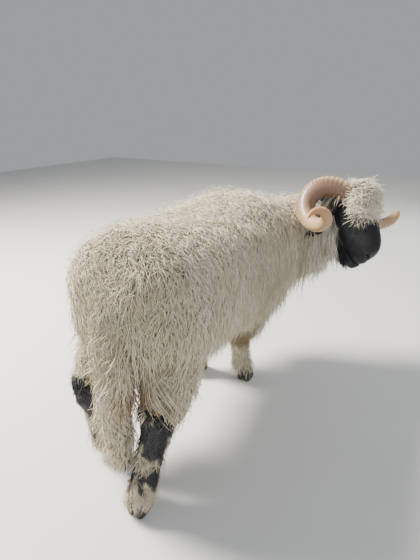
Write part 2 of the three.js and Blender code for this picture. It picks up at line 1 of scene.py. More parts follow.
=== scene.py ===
# %% [markdown]
# # A long-woolled mountain ram
# The finished look is built over the solids of the part: one skin for all the
# flesh, wool and hair as solid tufts on it, and separate horns, eyes, lids,
# ears and hooves. Everything is in metres and in the frame of the solids.

import math

import bpy
import numpy as np
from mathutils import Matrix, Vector


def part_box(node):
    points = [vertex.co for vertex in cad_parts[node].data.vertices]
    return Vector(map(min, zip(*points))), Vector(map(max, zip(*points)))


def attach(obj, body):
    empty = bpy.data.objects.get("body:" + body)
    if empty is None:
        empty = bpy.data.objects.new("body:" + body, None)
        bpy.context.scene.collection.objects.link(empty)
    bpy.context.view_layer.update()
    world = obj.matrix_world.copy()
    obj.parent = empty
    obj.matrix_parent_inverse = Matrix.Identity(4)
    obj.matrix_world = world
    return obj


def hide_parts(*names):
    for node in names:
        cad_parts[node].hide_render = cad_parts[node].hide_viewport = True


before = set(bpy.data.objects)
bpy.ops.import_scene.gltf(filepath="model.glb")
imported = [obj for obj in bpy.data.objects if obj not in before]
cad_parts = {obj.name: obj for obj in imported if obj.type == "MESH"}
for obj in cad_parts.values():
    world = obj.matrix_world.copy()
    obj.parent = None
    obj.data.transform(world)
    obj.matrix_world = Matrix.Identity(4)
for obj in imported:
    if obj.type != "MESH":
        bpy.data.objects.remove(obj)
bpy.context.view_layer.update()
dice = np.random.default_rng(41)
SHARE = 1.0
print("nodes:", len(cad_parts), "share of tufts:", SHARE)

# %% [markdown]
# ## Curves and swept bodies
# A body part is a closed surface carried along a curve: at each step the curve
# has a cross-section, an ellipse or a rounded box whose half sizes change
# smoothly. The same few sizes shape the solids, so the skin fits them.

# %% Curves
UP = np.array([0.0, 0.0, 1.0])
FORWARD = np.array([1.0, 0.0, 0.0])


def unit(vectors):
    """Each vector divided by its own length."""
    return vectors / np.maximum(np.linalg.norm(vectors, axis=-1, keepdims=True), 1e-12)


def through(points, t):
    """A curve through the points: between two of them it is the cubic whose slope
    at each end is half the step between that end's two neighbours."""
    points = np.asarray(points, float)
    wide = np.vstack([2 * points[0] - points[1], points, 2 * points[-1] - points[-2]])
    spans = len(points) - 1
    place = np.clip(t, 0, 1) * spans
    k = np.minimum(place.astype(int), spans - 1)
    u = (place - k)[:, None]
    a, b, c, d = (wide[k + step] for step in range(4))
    return 0.5 * (2 * b + (c - a) * u + (2 * a - 5 * b + 4 * c - d) * u**2 + (3 * b - a - 3 * c + d) * u**3)


def frames(path, t, up):
    """The curve's places, directions, side ways and outward ways at t: the side way is
    across up and the direction, and the outward way is across those two."""
    step = 1e-4
    centre = path(t)
    along = unit(path(np.minimum(t + step, 1)) - path(np.maximum(t - step, 0)))
    side = unit(np.cross(up, along))
    return centre, along, side, np.cross(along, side)


# %% Swept bodies
def rounded_ends(start, end, rings, dome=9):
    """Where the rings stand: evenly along the body, and closer in the two rounded ends,
    where the ring's size follows a quarter circle. Gives place, size and lean."""
    turn = np.arange(1, dome) / dome * math.pi / 2
    body = np.linspace(start, 1 - end, rings)
    t, size, lean = [body], [np.ones(rings)], [np.zeros(rings)]
    if start > 0:
        t.insert(0, start * (1 - np.cos(turn)))
        size.insert(0, np.sin(turn))
        lean.insert(0, -np.cos(turn))
    if end > 0:
        t.append((1 - end * (1 - np.cos(turn)))[::-1])
        size.append(np.sin(turn)[::-1])
        lean.append(np.cos(turn)[::-1])
    return np.concatenate(t), np.concatenate(size), np.concatenate(lean)


def rounded_box(sides, square):
    """Ways around a ring: cosine and sine, each raised to 2 / square, which is a circle for
    2 and nearer to a box above it. Gives the angles, the sideways and the outward shares."""
    angle = np.arange(sides) / sides * 2 * math.pi
    c, s = np.cos(angle), np.sin(angle)
    power = 2 / square
    return angle, np.sign(c) * np.abs(c) ** power, np.sign(s) * np.abs(s) ** power


def ringed(centre, side, over, sideways, outward):
    """Rings around the places of a curve: each point is so far sideways and so far outward."""
    return centre[:, None] + side[:, None] * sideways[..., None] + over[:, None] * outward[..., None]


def swept(points, halves, ends, coat=(0, 0), bare=0.0, up=UP, square=2.0, rings=40, sides=40):
    """A closed body along a curve. Across the curve a ring is a rounded box: its two
    half sizes times cosine and sine, each raised to 2 / square. It is drawn in by
    the share bare of the coat's depth. Gives points and triangles."""
    path = lambda t: through(points, t)
    t, size, lean = rounded_ends(*ends, rings)
    centre, along, side, over = frames(path, t, up)
    half = through(halves, t)
    inset = -bare * through(np.array(coat)[:, None], t)
    _, across, height = rounded_box(sides, square)
    reach = np.where(height > 0, half[:, 1:2], half[:, 2:3]) + inset
    leaning = centre + along * lean[:, None] * inset
    sideways = across * (half[:, :1] + inset) * size[:, None]
    ring = ringed(leaning, side, over, sideways, height * reach * size[:, None])
    end_points = path(np.array([0.0, 1.0]))
    end_ways = frames(path, np.array([0.0, 1.0]), up)[1]
    first = end_points[0] - end_ways[0] * inset[0]
    last = end_points[1] + end_ways[1] * inset[-1]
    return closed_tube(ring, first, last)


def closed_tube(rings, first, last):
    """Joins rings of equal length, with a point at either end. Gives points and triangles."""
    count, sides = rings.shape[:2]
    points = np.vstack([first, rings.reshape(-1, 3), last])
    at = 1 + np.arange(count * sides).reshape(count, sides)
    onward = np.roll(at, -1, axis=1)
    a, b, c, d = at[:-1], onward[:-1], onward[1:], at[1:]
    walls = np.stack([a, b, d, b, c, d], axis=-1).reshape(-1, 3)
    start = np.stack([np.zeros(sides, int), onward[0], at[0]], axis=-1)
    finish = np.stack([np.full(sides, len(points) - 1), at[-1], onward[-1]], axis=-1)
    return points, np.vstack([start, walls, finish])


def together(bodies):
    """Several bodies as one list of points and one of triangles."""
    counts = np.cumsum([0] + [len(points) for points, _ in bodies[:-1]])
    points = np.vstack([points for points, _ in bodies])
    triangles = np.vstack([triangles + start for (_, triangles), start in zip(bodies, counts)])
    return points, triangles


def mesh_object(name, points, triangles):
    """A new smooth object from points and triangles."""
    mesh = bpy.data.meshes.new(name)
    mesh.vertices.add(len(points))
    mesh.vertices.foreach_set("co", np.ascontiguousarray(points, np.float32).ravel())
    mesh.loops.add(triangles.size)
    mesh.loops.foreach_set("vertex_index", np.ascontiguousarray(triangles, np.int32).ravel())
    mesh.polygons.add(len(triangles))
    mesh.polygons.foreach_set("loop_start", np.arange(0, triangles.size, 3, dtype=np.int32))
    mesh.polygons.foreach_set("use_smooth", np.ones(len(triangles), bool))
    mesh.update(calc_edges=True)
    thing = bpy.data.objects.new(name, mesh)
    bpy.context.scene.collection.objects.link(thing)
    return thing


# %% [markdown]
# ## The animal's sizes
# These are the driving sizes of the solids, in millimetres, in the animal's own
# frame. Only the thin coat of the shanks is not theirs. The place of that frame
# comes from the eyes: their centres are known in it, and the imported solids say
# where they are.

# %% Sizes of the body
COAT = 70
BACK_HEIGHT, WITHERS_HEIGHT, BARREL_HALF_WIDTH = 804, 822, 230
RUMP_X, CHEST_X = -86, 902
BODY = {
    "trunk": dict(
        points=[(RUMP_X, -24, 625), (100, -20, 615), (300, -12, 605),
                (500, -6, 595), (690, -24, 585), (CHEST_X, -92, 548)],
        halves=[(200, 184, 184), (216, BACK_HEIGHT - 601, 220),
                (BARREL_HALF_WIDTH, BACK_HEIGHT - 603, 265),
                (BARREL_HALF_WIDTH, BACK_HEIGHT - 593, 278),
                (244, WITHERS_HEIGHT - 583, 280), (228, 186, 240)],
        coat=(COAT, COAT), ends=(0.16, 0.11), square=2.4,
    ),
    "neck": dict(
        points=[(690, -10, 630), (806, -96, 640), (905, -205, 672), (962, -316, 712)],
        halves=[(165, 172, 205), (158, 145, 215), (136, 118, 218), (92, 84, 205)],
        coat=(COAT, COAT), ends=(0.2, 0.22),
    ),
    "tail": dict(
        points=[(-10, -24, 685), (-48, -32, 590), (-66, -40, 440), (-66, -40, 270), (-60, -34, 100)],
        halves=[(58, 45, 45), (68, 48, 50), (62, 46, 50), (56, 42, 44), (40, 34, 34)],
        coat=(36, 44, 44, 40, 36), ends=(0.06, 0.1), up=FORWARD,
    ),
}
HIND = {
    "right": dict(
        hip=(122, -116, 620), stifle=(110, -132, 500), shin=(44, -140, 385), hock=(-5, -140, 272),
        toe=(-84, -114),
    ),
    "left": dict(
        hip=(122, 104, 620), stifle=(118, 116, 500), shin=(56, 128, 390), hock=(10, 134, 280),
        toe=(66, 128),
    ),
}
FORE = {
    "right": dict(elbow=(666, -126, 430), knee=(650, -74, 248), fetlock=(658, -88, 82), toe=(676, -96)),
    "left": dict(elbow=(644, 122, 430), knee=(620, 108, 248), fetlock=(612, 112, 82), toe=(630, 112)),
}
CLAW_HEIGHT = 42


def between(a, b, share):
    """The place at that share of the way from a to b."""
    return tuple(np.array(a, float) + (np.array(b, float) - a) * share)


def leg_bodies():
    """Sizes of the woolly and the bare parts of the four legs, from their joints."""
    bodies = {}
    for side, leg in HIND.items():
        hock = leg["hock"]
        toe = (*leg["toe"], 0)
        fetlock = between(hock, toe, 0.72)
        bodies[f"hind_{side}_thigh"] = dict(
            points=[leg["hip"], leg["stifle"], leg["shin"], hock, (hock[0] - 6, hock[1], hock[2] - 40)],
            halves=[(88, 130, 140), (88, 142, 116), (70, 110, 74), (52, 68, 54), (48, 54, 52)],
            coat=(COAT, 60, 36, 16, 10), ends=(0.15, 0.0), up=FORWARD,
        )
        bodies[f"hind_{side}_shank"] = dict(
            points=[(hock[0] + 4, hock[1], hock[2] + 60), hock, between(hock, fetlock, 0.5),
                    (fetlock[0] - 4, fetlock[1], 82), (toe[0] + 2, toe[1], CLAW_HEIGHT - 8)],
            halves=[(52, 54, 54), (48, 52, 54), (42, 44, 46), (44, 44, 48), (33, 34, 30)],
            coat=(6, 12, 12, 10, 4), ends=(0.0, 0.0), up=FORWARD,
        )
    for side, leg in FORE.items():
        elbow, knee, fetlock, toe = leg["elbow"], leg["knee"], leg["fetlock"], leg["toe"]
        bodies[f"fore_{side}_arm"] = dict(
            points=[(elbow[0] + 10, elbow[1], 560), elbow, between(elbow, knee, 0.62), knee,
                    between(knee, fetlock, 0.4)],
            halves=[(105, 120, 95), (102, 112, 88), (82, 84, 72), (52, 54, 54), (41, 42, 44)],
            coat=(COAT, 64, 44, 14, 10), ends=(0.2, 0.0), up=FORWARD,
        )
        bodies[f"fore_{side}_shank"] = dict(
            points=[knee, between(knee, fetlock, 0.35), between(knee, fetlock, 0.7), fetlock,
                    (toe[0] + 2, toe[1], CLAW_HEIGHT - 8)],
            halves=[(44, 46, 46), (38, 40, 40), (36, 37, 38), (39, 40, 42), (33, 34, 30)],
            coat=(6, 10, 10, 8, 4), ends=(0.0, 0.0), up=FORWARD,
        )
    return bodies


# %% Sizes of the head
POLL = np.array([922, -392, 782.0])
HEAD_YAW, HEAD_ROLL, NOSE_DROP = (math.radians(angle) for angle in (-107.6, -9.6, 56.0))
HEAD_SCALE = 1.06
HEAD_LENGTH = 262
EYE = np.array([92, 57, 22.0])
EYE_RADIUS = 16
HEAD = {
    "skull": dict(
        points=[(-50, 0, -8), (15, 0, 0), (75, 0, 2), (135, 0, 2), (190, 0, -4), (HEAD_LENGTH - 12, 0, -16)],
        halves=[(58, 46, 66), (68, 54, 84), (70, 62, 100), (60, 64, 94), (52, 58, 62), (47, 50, 36)],
        ends=(0.16, 0.12), square=2.2,
    ),
    "jaw": dict(
        points=[(95, 0, -58), (150, 0, -64), (200, 0, -66), (HEAD_LENGTH - 22, 0, -62)],
        halves=[(48, 34, 46), (42, 32, 40), (37, 26, 30), (33, 20, 24)],
        ends=(0.2, 0.18),
    ),
    "brow": dict(
        points=[(-48, 0, 36), (8, 0, 50), (70, 0, 54), (130, 0, 54)],
        halves=[(60, 48, 40), (84, 67, 40), (86, 59, 40), (60, 40, 36)],
        coat=(26, 26), ends=(0.25, 0.3),
    ),
}


def turn_about(axis, angle):
    """The matrix that turns about one axis: cosine and sine in the plane of the other two."""
    c, s = math.cos(angle), math.sin(angle)
    matrix = np.eye(3)
    first, second = [(1, 2), (2, 0), (0, 1)][axis]
    matrix[first, first] = matrix[second, second] = c
    matrix[first, second], matrix[second, first] = -s, s
    return matrix


POLL_TURN = turn_about(2, HEAD_YAW) @ turn_about(0, HEAD_ROLL)
HEAD_TURN = POLL_TURN @ turn_about(1, NOSE_DROP)


def from_head(points):
    """Places in the head's frame (nose along X) as places in the animal's frame."""
    return POLL + HEAD_SCALE * np.asarray(points) @ HEAD_TURN.T


def from_poll(points):
    """Places in the level frame at the poll as places in the animal's frame."""
    return POLL + np.asarray(points) @ POLL_TURN.T


def in_head(points):
    """Places in the animal's frame as places in the head's frame."""
    return (np.asarray(points) - POLL) @ HEAD_TURN / HEAD_SCALE


low, high = (np.array(corner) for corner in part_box("eye_left"))
ANIMAL_ORIGIN = ((low + high) / 2 - from_head(EYE) / 1000) * [1, 1, 0]
print("animal's frame starts at", np.round(ANIMAL_ORIGIN, 4))


def to_scene(points):
    """The animal's millimetres as the scene's metres."""
    return np.asarray(points) / 1000 + ANIMAL_ORIGIN


def to_animal(points):
    """The scene's metres as the animal's millimetres."""
    return (np.asarray(points) - ANIMAL_ORIGIN) * 1000


# %% [markdown]
# ## One skin
# A real animal has one skin with no seams. The swept bodies overlap, so they are
# joined by a voxel remesh, which keeps only the outside of them all, and then
# smoothed where one runs into another. The head gets smaller voxels than the
# body, and their join lies deep in the neck's wool.

# %% Remesh and smooth
def applied(thing):
    """Replaces the object's mesh by what its modifiers make of it."""
    shaped = thing.evaluated_get(bpy.context.evaluated_depsgraph_get())
    mesh = bpy.data.meshes.new_from_object(shaped)
    thing.modifiers.clear()
    thing.data = mesh
    return thing


def grown_together(name, bodies, voxel, rounds):
    """One closed surface around all the bodies, smoothed a number of rounds."""
    thing = mesh_object(name, *together(bodies))
    remesh = thing.modifiers.new("one skin", "REMESH")
    remesh.mode = "VOXEL"
    remesh.voxel_size = voxel
    soft = thing.modifiers.new("soften", "SMOOTH")
    soft.factor = 0.5
    soft.iterations = rounds
    return applied(thing)


def points_of(thing):
    """The object's vertices as an array."""
    values = np.empty(len(thing.data.vertices) * 3, np.float32)
    thing.data.vertices.foreach_get("co", values)
    return values.reshape(-1, 3).astype(float)


def normals_of(thing):
    """The object's vertex normals as an array."""
    values = np.empty(len(thing.data.vertices) * 3, np.float32)
    thing.data.vertices.foreach_get("normal", values)
    return values.reshape(-1, 3).astype(float)


body_sizes = {**BODY, **leg_bodies()}
body_bodies = []
for sizes in body_sizes.values():
    points, triangles = swept(**sizes, bare=0.5)
    body_bodies.append((to_scene(points), triangles))
body_skin = grown_together("body_skin", body_bodies, voxel=0.009, rounds=8)

HEAD_BARE = {"skull": 0.5, "jaw": 0.5, "brow": 1.2}
head_bodies = []
for name, sizes in HEAD.items():
    points, triangles = swept(**sizes, bare=HEAD_BARE[name])
    head_bodies.append((to_scene(from_head(points)), triangles))
head_skin = grown_together("head_skin", head_bodies, voxel=0.0025, rounds=8)
print("body faces", len(body_skin.data.polygons), "head faces", len(head_skin.data.polygons))

# %% [markdown]
# ## The face
# The swept head is only the rough shape. The face is pressed into it as a
# sculptor would do it: hollows and ridges along its own normals, each a smooth
# bell around a point or a line. Left and right share one relief.

# %% Shaping the face
def ramp(value, start, end):
    """0 before start, 1 after end, and a smooth step between them."""
    t = np.clip((value - start) / (end - start), 0, 1)
    return t * t * (3 - 2 * t)


def bell(distance, reach):
    """1 at distance 0, fading away beyond the reach: e to the minus square of their ratio."""
    return np.exp(-((distance / reach) ** 2))


def off_line(points, line):
    """Distance of each point from the nearest place on a line through several corners."""
    line = np.array(line, float)
    best = np.full(len(points), np.inf)
    for a, b in zip(line[:-1], line[1:]):
        share = np.clip((points - a) @ (b - a) / ((b - a) @ (b - a)), 0, 1)[:, None]
        best = np.minimum(best, np.linalg.norm(points - (a + share * (b - a)), axis=1))
    return best


NOSTRIL = [(264, 12, -6), (252, 22, 6), (238, 37, 17)]
NOSE_RIDGE = [(60, 0, 66), (150, 0, 68), (236, 0, 42)]
MOUTH_X, MOUTH_Z = (178, 200, 222, 274), (-53, -49, -47, -46)
RELIEF = [
    ("brow ridge", 4.5, [(68, 62, 46), (92, 68, 50), (114, 58, 42)], 11),
    ("hollow before the eye", -4.0, [(116, 62, 8), (134, 58, -4)], 13),
    ("side of the nose", -3.5, [(150, 58, 16), (204, 52, 14)], 14),
    ("cheek bone", 3.5, [(92, 70, -18), (150, 62, -22)], 10),
    ("jaw muscle", 4.0, [(70, 56, -66), (104, 50, -82)], 26),
    ("nose bridge", 2.0, NOSE_RIDGE, 16),
    ("wing of the nostril", 4.4, [(246, 40, 10), (236, 45, 22)], 8),
    ("hollow under the nostril", -2.0, [(250, 34, -16), (232, 46, -14)], 8),
    ("chin", 3.0, [(226, 0, -84), (236, 12, -80)], 13),
    ("corner of the mouth", -2.5, [(172, 52, -52), (182, 48, -50)], 8),
]
LID_TILT = 0.35
LID_HALF_LENGTH, LID_HALF_HEIGHT = 17.0, 9.0
LID_BALL, RIM_BALL, OPENING_DEPTH = 19.4, 18.2, 8.0
EYE_ACROSS = np.array([math.cos(LID_TILT), 0, -math.sin(LID_TILT)])
EYE_OUT = unit(np.array([0.16, 1.0, 0.10]))
EYE_ALONG = unit(EYE_ACROSS - EYE_OUT * (EYE_ACROSS @ EYE_OUT))
EYE_UP = np.cross(EYE_ALONG, EYE_OUT)


def relief(points):
    """How far the face stands out from the rough head at each point of its right or left half."""
    height = np.zeros(len(points))
    for _, depth, line, reach in RELIEF:
        height += depth * bell(off_line(points, line), reach)
    nostril = off_line(points, NOSTRIL)
    height += 3.4 * bell(nostril - 9, 4) - 13.0 * bell(nostril, 4.4)
    line = np.interp(points[:, 0], MOUTH_X, MOUTH_Z)
    off = points[:, 2] - line
    front = ramp(points[:, 0], 176, 188)
    height += front * (2.2 * bell(np.abs(off) - 7, 4.5) - 5.5 * bell(off, 2.4))
    groove = ramp(points[:, 0], 244, 254) * ramp(points[:, 2], -44, -38) * (1 - ramp(points[:, 2], -2, 6))
    return height - 2.4 * groove * bell(points[:, 1], 2.6)


def around_eye(points):
    """Moves the points near the eye onto the ball of the lids, and those in the opening behind it."""
    away = points - EYE
    radius = np.linalg.norm(away, axis=1)
    outward = away @ EYE_OUT
    u, v = away @ EYE_ALONG, away @ EYE_UP
    lids = (1 - ramp(np.hypot(u, v), 13, 27)) * ramp(outward, -8, 4)
    opening = np.maximum(0.02, LID_HALF_HEIGHT * (1 - (u / LID_HALF_LENGTH) ** 2))
    inside = (1 - ramp(np.abs(v) / opening, 0.9, 1.15)) * (np.abs(u) < LID_HALF_LENGTH) * (outward > 0)
    wanted = LID_BALL - OPENING_DEPTH * inside
    along = away / np.maximum(radius, 1e-6)[:, None]
    return points + along * (lids * (wanted - radius))[:, None]


def refined(points):
    """Shortens the poll behind the horns, narrows the muzzle towards its tip and lets the
    upper half of the nose end behind the lips."""
    x, y, z = points.T
    tip = ramp(x, 180, 262)
    return np.stack([
        np.where(x < 10, 10 + (x - 10) * 0.65, x) + tip * (8 - 26 * ramp(z, -52, 6)),
        y * (1 - 0.17 * tip),
        (z + 20) * (1 - 0.1 * tip) - 20,
    ], axis=1)


head_points = in_head(to_animal(points_of(head_skin)))
head_normals = normals_of(head_skin) @ HEAD_TURN
side_sign = np.where(head_points[:, 1] < 0, -1.0, 1.0)[:, None] * [[0, 1, 0]] + [[1, 0, 1]]
half = head_points * side_sign
half = half + head_normals * side_sign * relief(half)[:, None]
head_points = around_eye(refined(half)) * side_sign
flat_points = to_scene(from_head(head_points))
head_skin.data.vertices.foreach_set("co", np.ascontiguousarray(flat_points, np.float32).ravel())
head_skin.data.update()
heights = relief(half)
print("face relief from", round(float(heights.min()), 1), "to", round(float(heights.max()), 1), "mm")

# %% [markdown]
# The skin is unwrapped into flat islands cut where its own shape turns. Every
# tuft later gets a tiny patch of this unwrap, at the place of its root.

# %% Join and unwrap
def only_active(*things):
    """Selects these objects and makes the first one active."""
    for other in bpy.context.selected_objects:
        other.select_set(False)
    for thing in things:
        thing.select_set(True)
    bpy.context.view_layer.objects.active = things[0]


def unwrapped(thing):
    """Gives the object the flat map that the coat's patches refer to."""
    thing.data.uv_layers.new(name="OFBake")
    only_active(thing)
    bpy.ops.object.mode_set(mode="EDIT")
    bpy.ops.mesh.select_all(action="SELECT")
    bpy.ops.uv.smart_project(angle_limit=1.15, island_margin=0.002)
    bpy.ops.object.mode_set(mode="OBJECT")
    return thing


only_active(body_skin, head_skin)
bpy.ops.object.join()
skin = unwrapped(body_skin)
skin.name = "skin"
print("skin faces", len(skin.data.polygons))

# %% [markdown]
# ## Markings
# The breed is white with a black face, black ears, black patches on the knees
# and hocks and dark feet. The same rule colours the skin and every tuft that
# grows on it, so no pale skin shows through black hair.

# %% Markings
def ripple(places, size, seed):
    """A smooth value near -1 to 1 that changes over about size: three sine waves in turned directions."""
    ways = unit(np.random.default_rng(seed).normal(size=(3, 3)))
    phases = places @ ways.T * (2 * math.pi / size)
    return np.sin(phases + np.sin(phases[:, [1, 2, 0]] * 0.7)).mean(axis=1) * 1.5


def patch(places, centre, sizes, ragged=0.16):
    """1 inside a soft-edged ellipsoid and 0 outside it; ragged breaks up its edge."""
    distance = np.linalg.norm((places - np.array(centre)) / np.array(sizes), axis=1)
    return 1 - ramp(distance + ragged * ripple(places, 38, 3), 0.8, 1.05)


BLACK_PATCHES = [
    ((-38, -150, 266), (64, 84, 88), 0.25),
    ((-46, -130, 136), (70, 70, 46), 0.4),
    ((-22, 140, 282), (64, 80, 80), 0.2),
    ((44, 136, 116), (66, 66, 30), 0.5),
    ((682, -88, 240), (54, 64, 46), 0.3),
    ((664, 108, 236), (44, 60, 52), 0.2),
]
STAIN_PATCHES = [
    ((640, -84, 282), (90, 90, 90), 0.75),
    ((20, -110, 362), (100, 90, 40), 0.4),
    ((0, -60, 400), (80, 60, 90), 0.6),
    ((-36, -104, 420), (50, 46, 66), 0.85),
    ((-40, 0, 540), (110, 90, 150), 0.22),
    ((0, 70, 400), (110, 80, 90), 0.3),
]
FORE_FOOT_BLACK, HIND_FOOT_BLACK = 84, 40


def head_share(places):
    """1 on the head and 0 on the body."""
    head = in_head(places)
    return ramp(head[:, 0], -60, -40) * ramp(-places[:, 1], 270, 300)


def ear_root(places):
    """1 around the roots of the ears, behind and below the roots of the horns."""
    head = in_head(places)
    one_side = np.abs(head * [0, 1, 0]) + head * [1, 0, 1]
    return patch(one_side, (-20, 58, -66), (44, 36, 48), 0.1)


def markings(places):
    """How black and how stained the coat is at places in the animal's frame: on the head by
    limits along and across it, on the legs by height and patches."""
    head = in_head(places)
    edge = 7 * ripple(places, 46, 5)
    muzzle = ramp(head[:, 0] + 0.62 * np.minimum(head[:, 2] + 20, 0) + edge, 84, 98)
    temple = ramp(head[:, 0] + edge, -22, -8) * ramp(head[:, 2] + edge, -46, -32)
    crown = ramp(head[:, 2] + edge, 44, 54) * (1 - ramp(head[:, 0] + edge, 98, 112))
    black = np.maximum(muzzle, temple * (1 - crown)) * head_share(places)
    black = np.maximum(black, ear_root(places))
    for centre, sizes, ragged in BLACK_PATCHES:
        black = np.maximum(black, patch(places, centre, sizes, ragged))
    top = np.where(places[:, 0] > 400, FORE_FOOT_BLACK, HIND_FOOT_BLACK) + 10 * ripple(places, 30, 8)
    foot = 1 - ramp(places[:, 2] - top, -14, 6)
    stain = np.zeros(len(places))
    for centre, sizes, depth in STAIN_PATCHES:
        stain = np.maximum(stain, depth * patch(places, centre, sizes))
    low = 1 - ramp(places[:, 2], 200, 700)
    behind = 1 - ramp(places[:, 0], 0, 300)
    return np.maximum(black, foot), np.clip(stain + 0.12 * low + 0.08 * behind, 0, 1)


def store(thing, name, *values):
    """Keeps up to four values on the vertices as one attribute; a missing one is 0."""
    packed = np.zeros((len(values[0]), 4), np.float32)
    packed[:, :len(values)] = np.stack(values, axis=1)
    layer = thing.data.color_attributes.new(name, "FLOAT_COLOR", "POINT")
    layer.data.foreach_set("color", packed.ravel())


skin_places = to_animal(points_of(skin))
skin_black, skin_stain = markings(skin_places)
# The skin gets a share near the root, so it takes the dark root colour: painted shade under the fleece.
level = np.full(len(skin_places), 0.5)
store(skin, "coat", skin_black, skin_stain, level, level * 0.6)
print("black share of the skin", round(float(skin_black.mean()), 3))

# %% [markdown]
# ## Materials
# One material serves skin and wool. It blends cream wool, darkened towards the root as painted shade,
# with brown stains and black hair by the stored values, and adds fine noise.

# %% Material helpers
def material(name, roughness, sheen=0.0, coat=0.0):
    """An empty material with a surface shader. Gives the material, its nodes, links and shader."""
    made = bpy.data.materials.new(name)
    made.use_nodes = True
    nodes, links = made.node_tree.nodes, made.node_tree.links
    shader = nodes["Principled BSDF"]
    shader.inputs["Roughness"].default_value = roughness
    shader.inputs["Sheen Weight"].default_value = sheen
    shader.inputs["Coat Weight"].default_value = coat
    return made, nodes, links, shader


def noise(nodes, links, scale, detail=3.0):
    """Noise that follows the object's own places; scale is in waves per metre."""
    place = nodes.new("ShaderNodeTexCoord")
    made = nodes.new("ShaderNodeTexNoise")
    made.inputs["Scale"].default_value = scale
    made.inputs["Detail"].default_value = detail
    links.new(place.outputs["Object"], made.inputs["Vector"])
    return made.outputs["Fac"]


def stored_values(nodes, links, name):
    """The four values that an attribute keeps on the vertices: three as colour and one as alpha."""
    stored = nodes.new("ShaderNodeAttribute")
    stored.attribute_name = name
    parts = nodes.new("ShaderNodeSeparateColor")
    links.new(stored.outputs["Color"], parts.inputs["Color"])
    return (*parts.outputs, stored.outputs["Alpha"])


def mixed(nodes, links, factor, first, second, mode="MIX"):
    """first where the factor is 0 and second where it is 1; each is a colour or an output."""
    made = nodes.new("ShaderNodeMix")
    made.data_type = "RGBA"
    made.blend_type = mode
    for number, value in ((0, factor), (6, first), (7, second)):
        socket = made.inputs[number]
        if isinstance(value, bpy.types.NodeSocket):
            links.new(value, socket)
        elif isinstance(value, (int, float)):
            socket.default_value = value
        else:
            socket.default_value = (*value, 1.0)
    return made.outputs[2]


def bumped(nodes, links, shader, height, strength, distance):
    """Presses a height into the shader's normal."""
    made = nodes.new("ShaderNodeBump")
    made.inputs["Strength"].default_value = strength
    made.inputs["Distance"].default_value = distance
    links.new(height, made.inputs["Height"])
    links.new(made.outputs["Normal"], shader.inputs["Normal"])


# %% Wool and skin material
WOOL_TIP = (0.79, 0.70, 0.485)
# The root colour is the cream darkened as painted shade deep in the fleece.
WOOL_ROOT_PAINTED_SHADE = (0.38, 0.295, 0.16)
WOOL_PALE = (0.97, 0.93, 0.83)
STAIN = (0.27, 0.17, 0.075)
# Black hair: the bluish tint of the tips is a painted sheen, and the darker roots are painted shade.
BLACK_TIP_PAINTED_SHEEN = (0.010, 0.012, 0.019)
BLACK_ROOT_PAINTED_SHADE = (0.003, 0.003, 0.005)
WOOL_ROUGHNESS, HAIR_ROUGHNESS = 0.8, 0.6


def coat_material(name, fine):
    """Wool or short hair coloured by the stored values, with painted shade towards the roots and a painted
    bluish sheen on the black tips; fine is the noise's waves per metre.
    """
    made, nodes, links, shader = material(name, roughness=WOOL_ROUGHNESS, sheen=0.06)
    black, stain, tone, share = stored_values(nodes, links, "coat")
    # Towards the root the wool darkens: painted shade deep in the fleece.
    wool = mixed(nodes, links, share, WOOL_ROOT_PAINTED_SHADE, WOOL_TIP)
    wool = mixed(nodes, links, tone, wool, mixed(nodes, links, 0.6, wool, WOOL_PALE))
    wool = mixed(nodes, links, stain, wool, STAIN)
    # Black hair: painted shade at the roots, a painted bluish sheen at the tips.
    hair = mixed(nodes, links, share, BLACK_ROOT_PAINTED_SHADE, BLACK_TIP_PAINTED_SHEEN)
    colour = mixed(nodes, links, black, wool, hair)
    speck = noise(nodes, links, fine)
    shade = mixed(nodes, links, speck, (0.8, 0.8, 0.81), (1.1, 1.09, 1.06))
    colour = mixed(nodes, links, 1.0, colour, shade, "MULTIPLY")
    links.new(colour, shader.inputs["Base Color"])
    dullness = mixed(nodes, links, black, (WOOL_ROUGHNESS,) * 3, (HAIR_ROUGHNESS,) * 3)
    links.new(dullness, shader.inputs["Roughness"])
    bumped(nodes, links, shader, speck, 0.5, 0.002)
    return made


fleece = coat_material("fleece", fine=260.0)
skin.data.materials.append(fleece)
skin_nodes = ["torso", "neck", "tail", "head"]
for side in ("right", "left"):
    skin_nodes += [f"hind_{side}_thigh", f"hind_{side}_shank", f"fore_{side}_arm", f"fore_{side}_shank"]
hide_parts(*skin_nodes)
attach(skin, "root")

# %% [markdown]
# ## Wool
# Real wool grows in locks: bundles of strands that share one wave and meet at
# the tip. Each strand here is a thin closed prism that tapers to a point. It
# leaves the skin, turns into the lie of the coat, follows the round of the body,
# sags under its weight and waves together with the other strands of its lock.

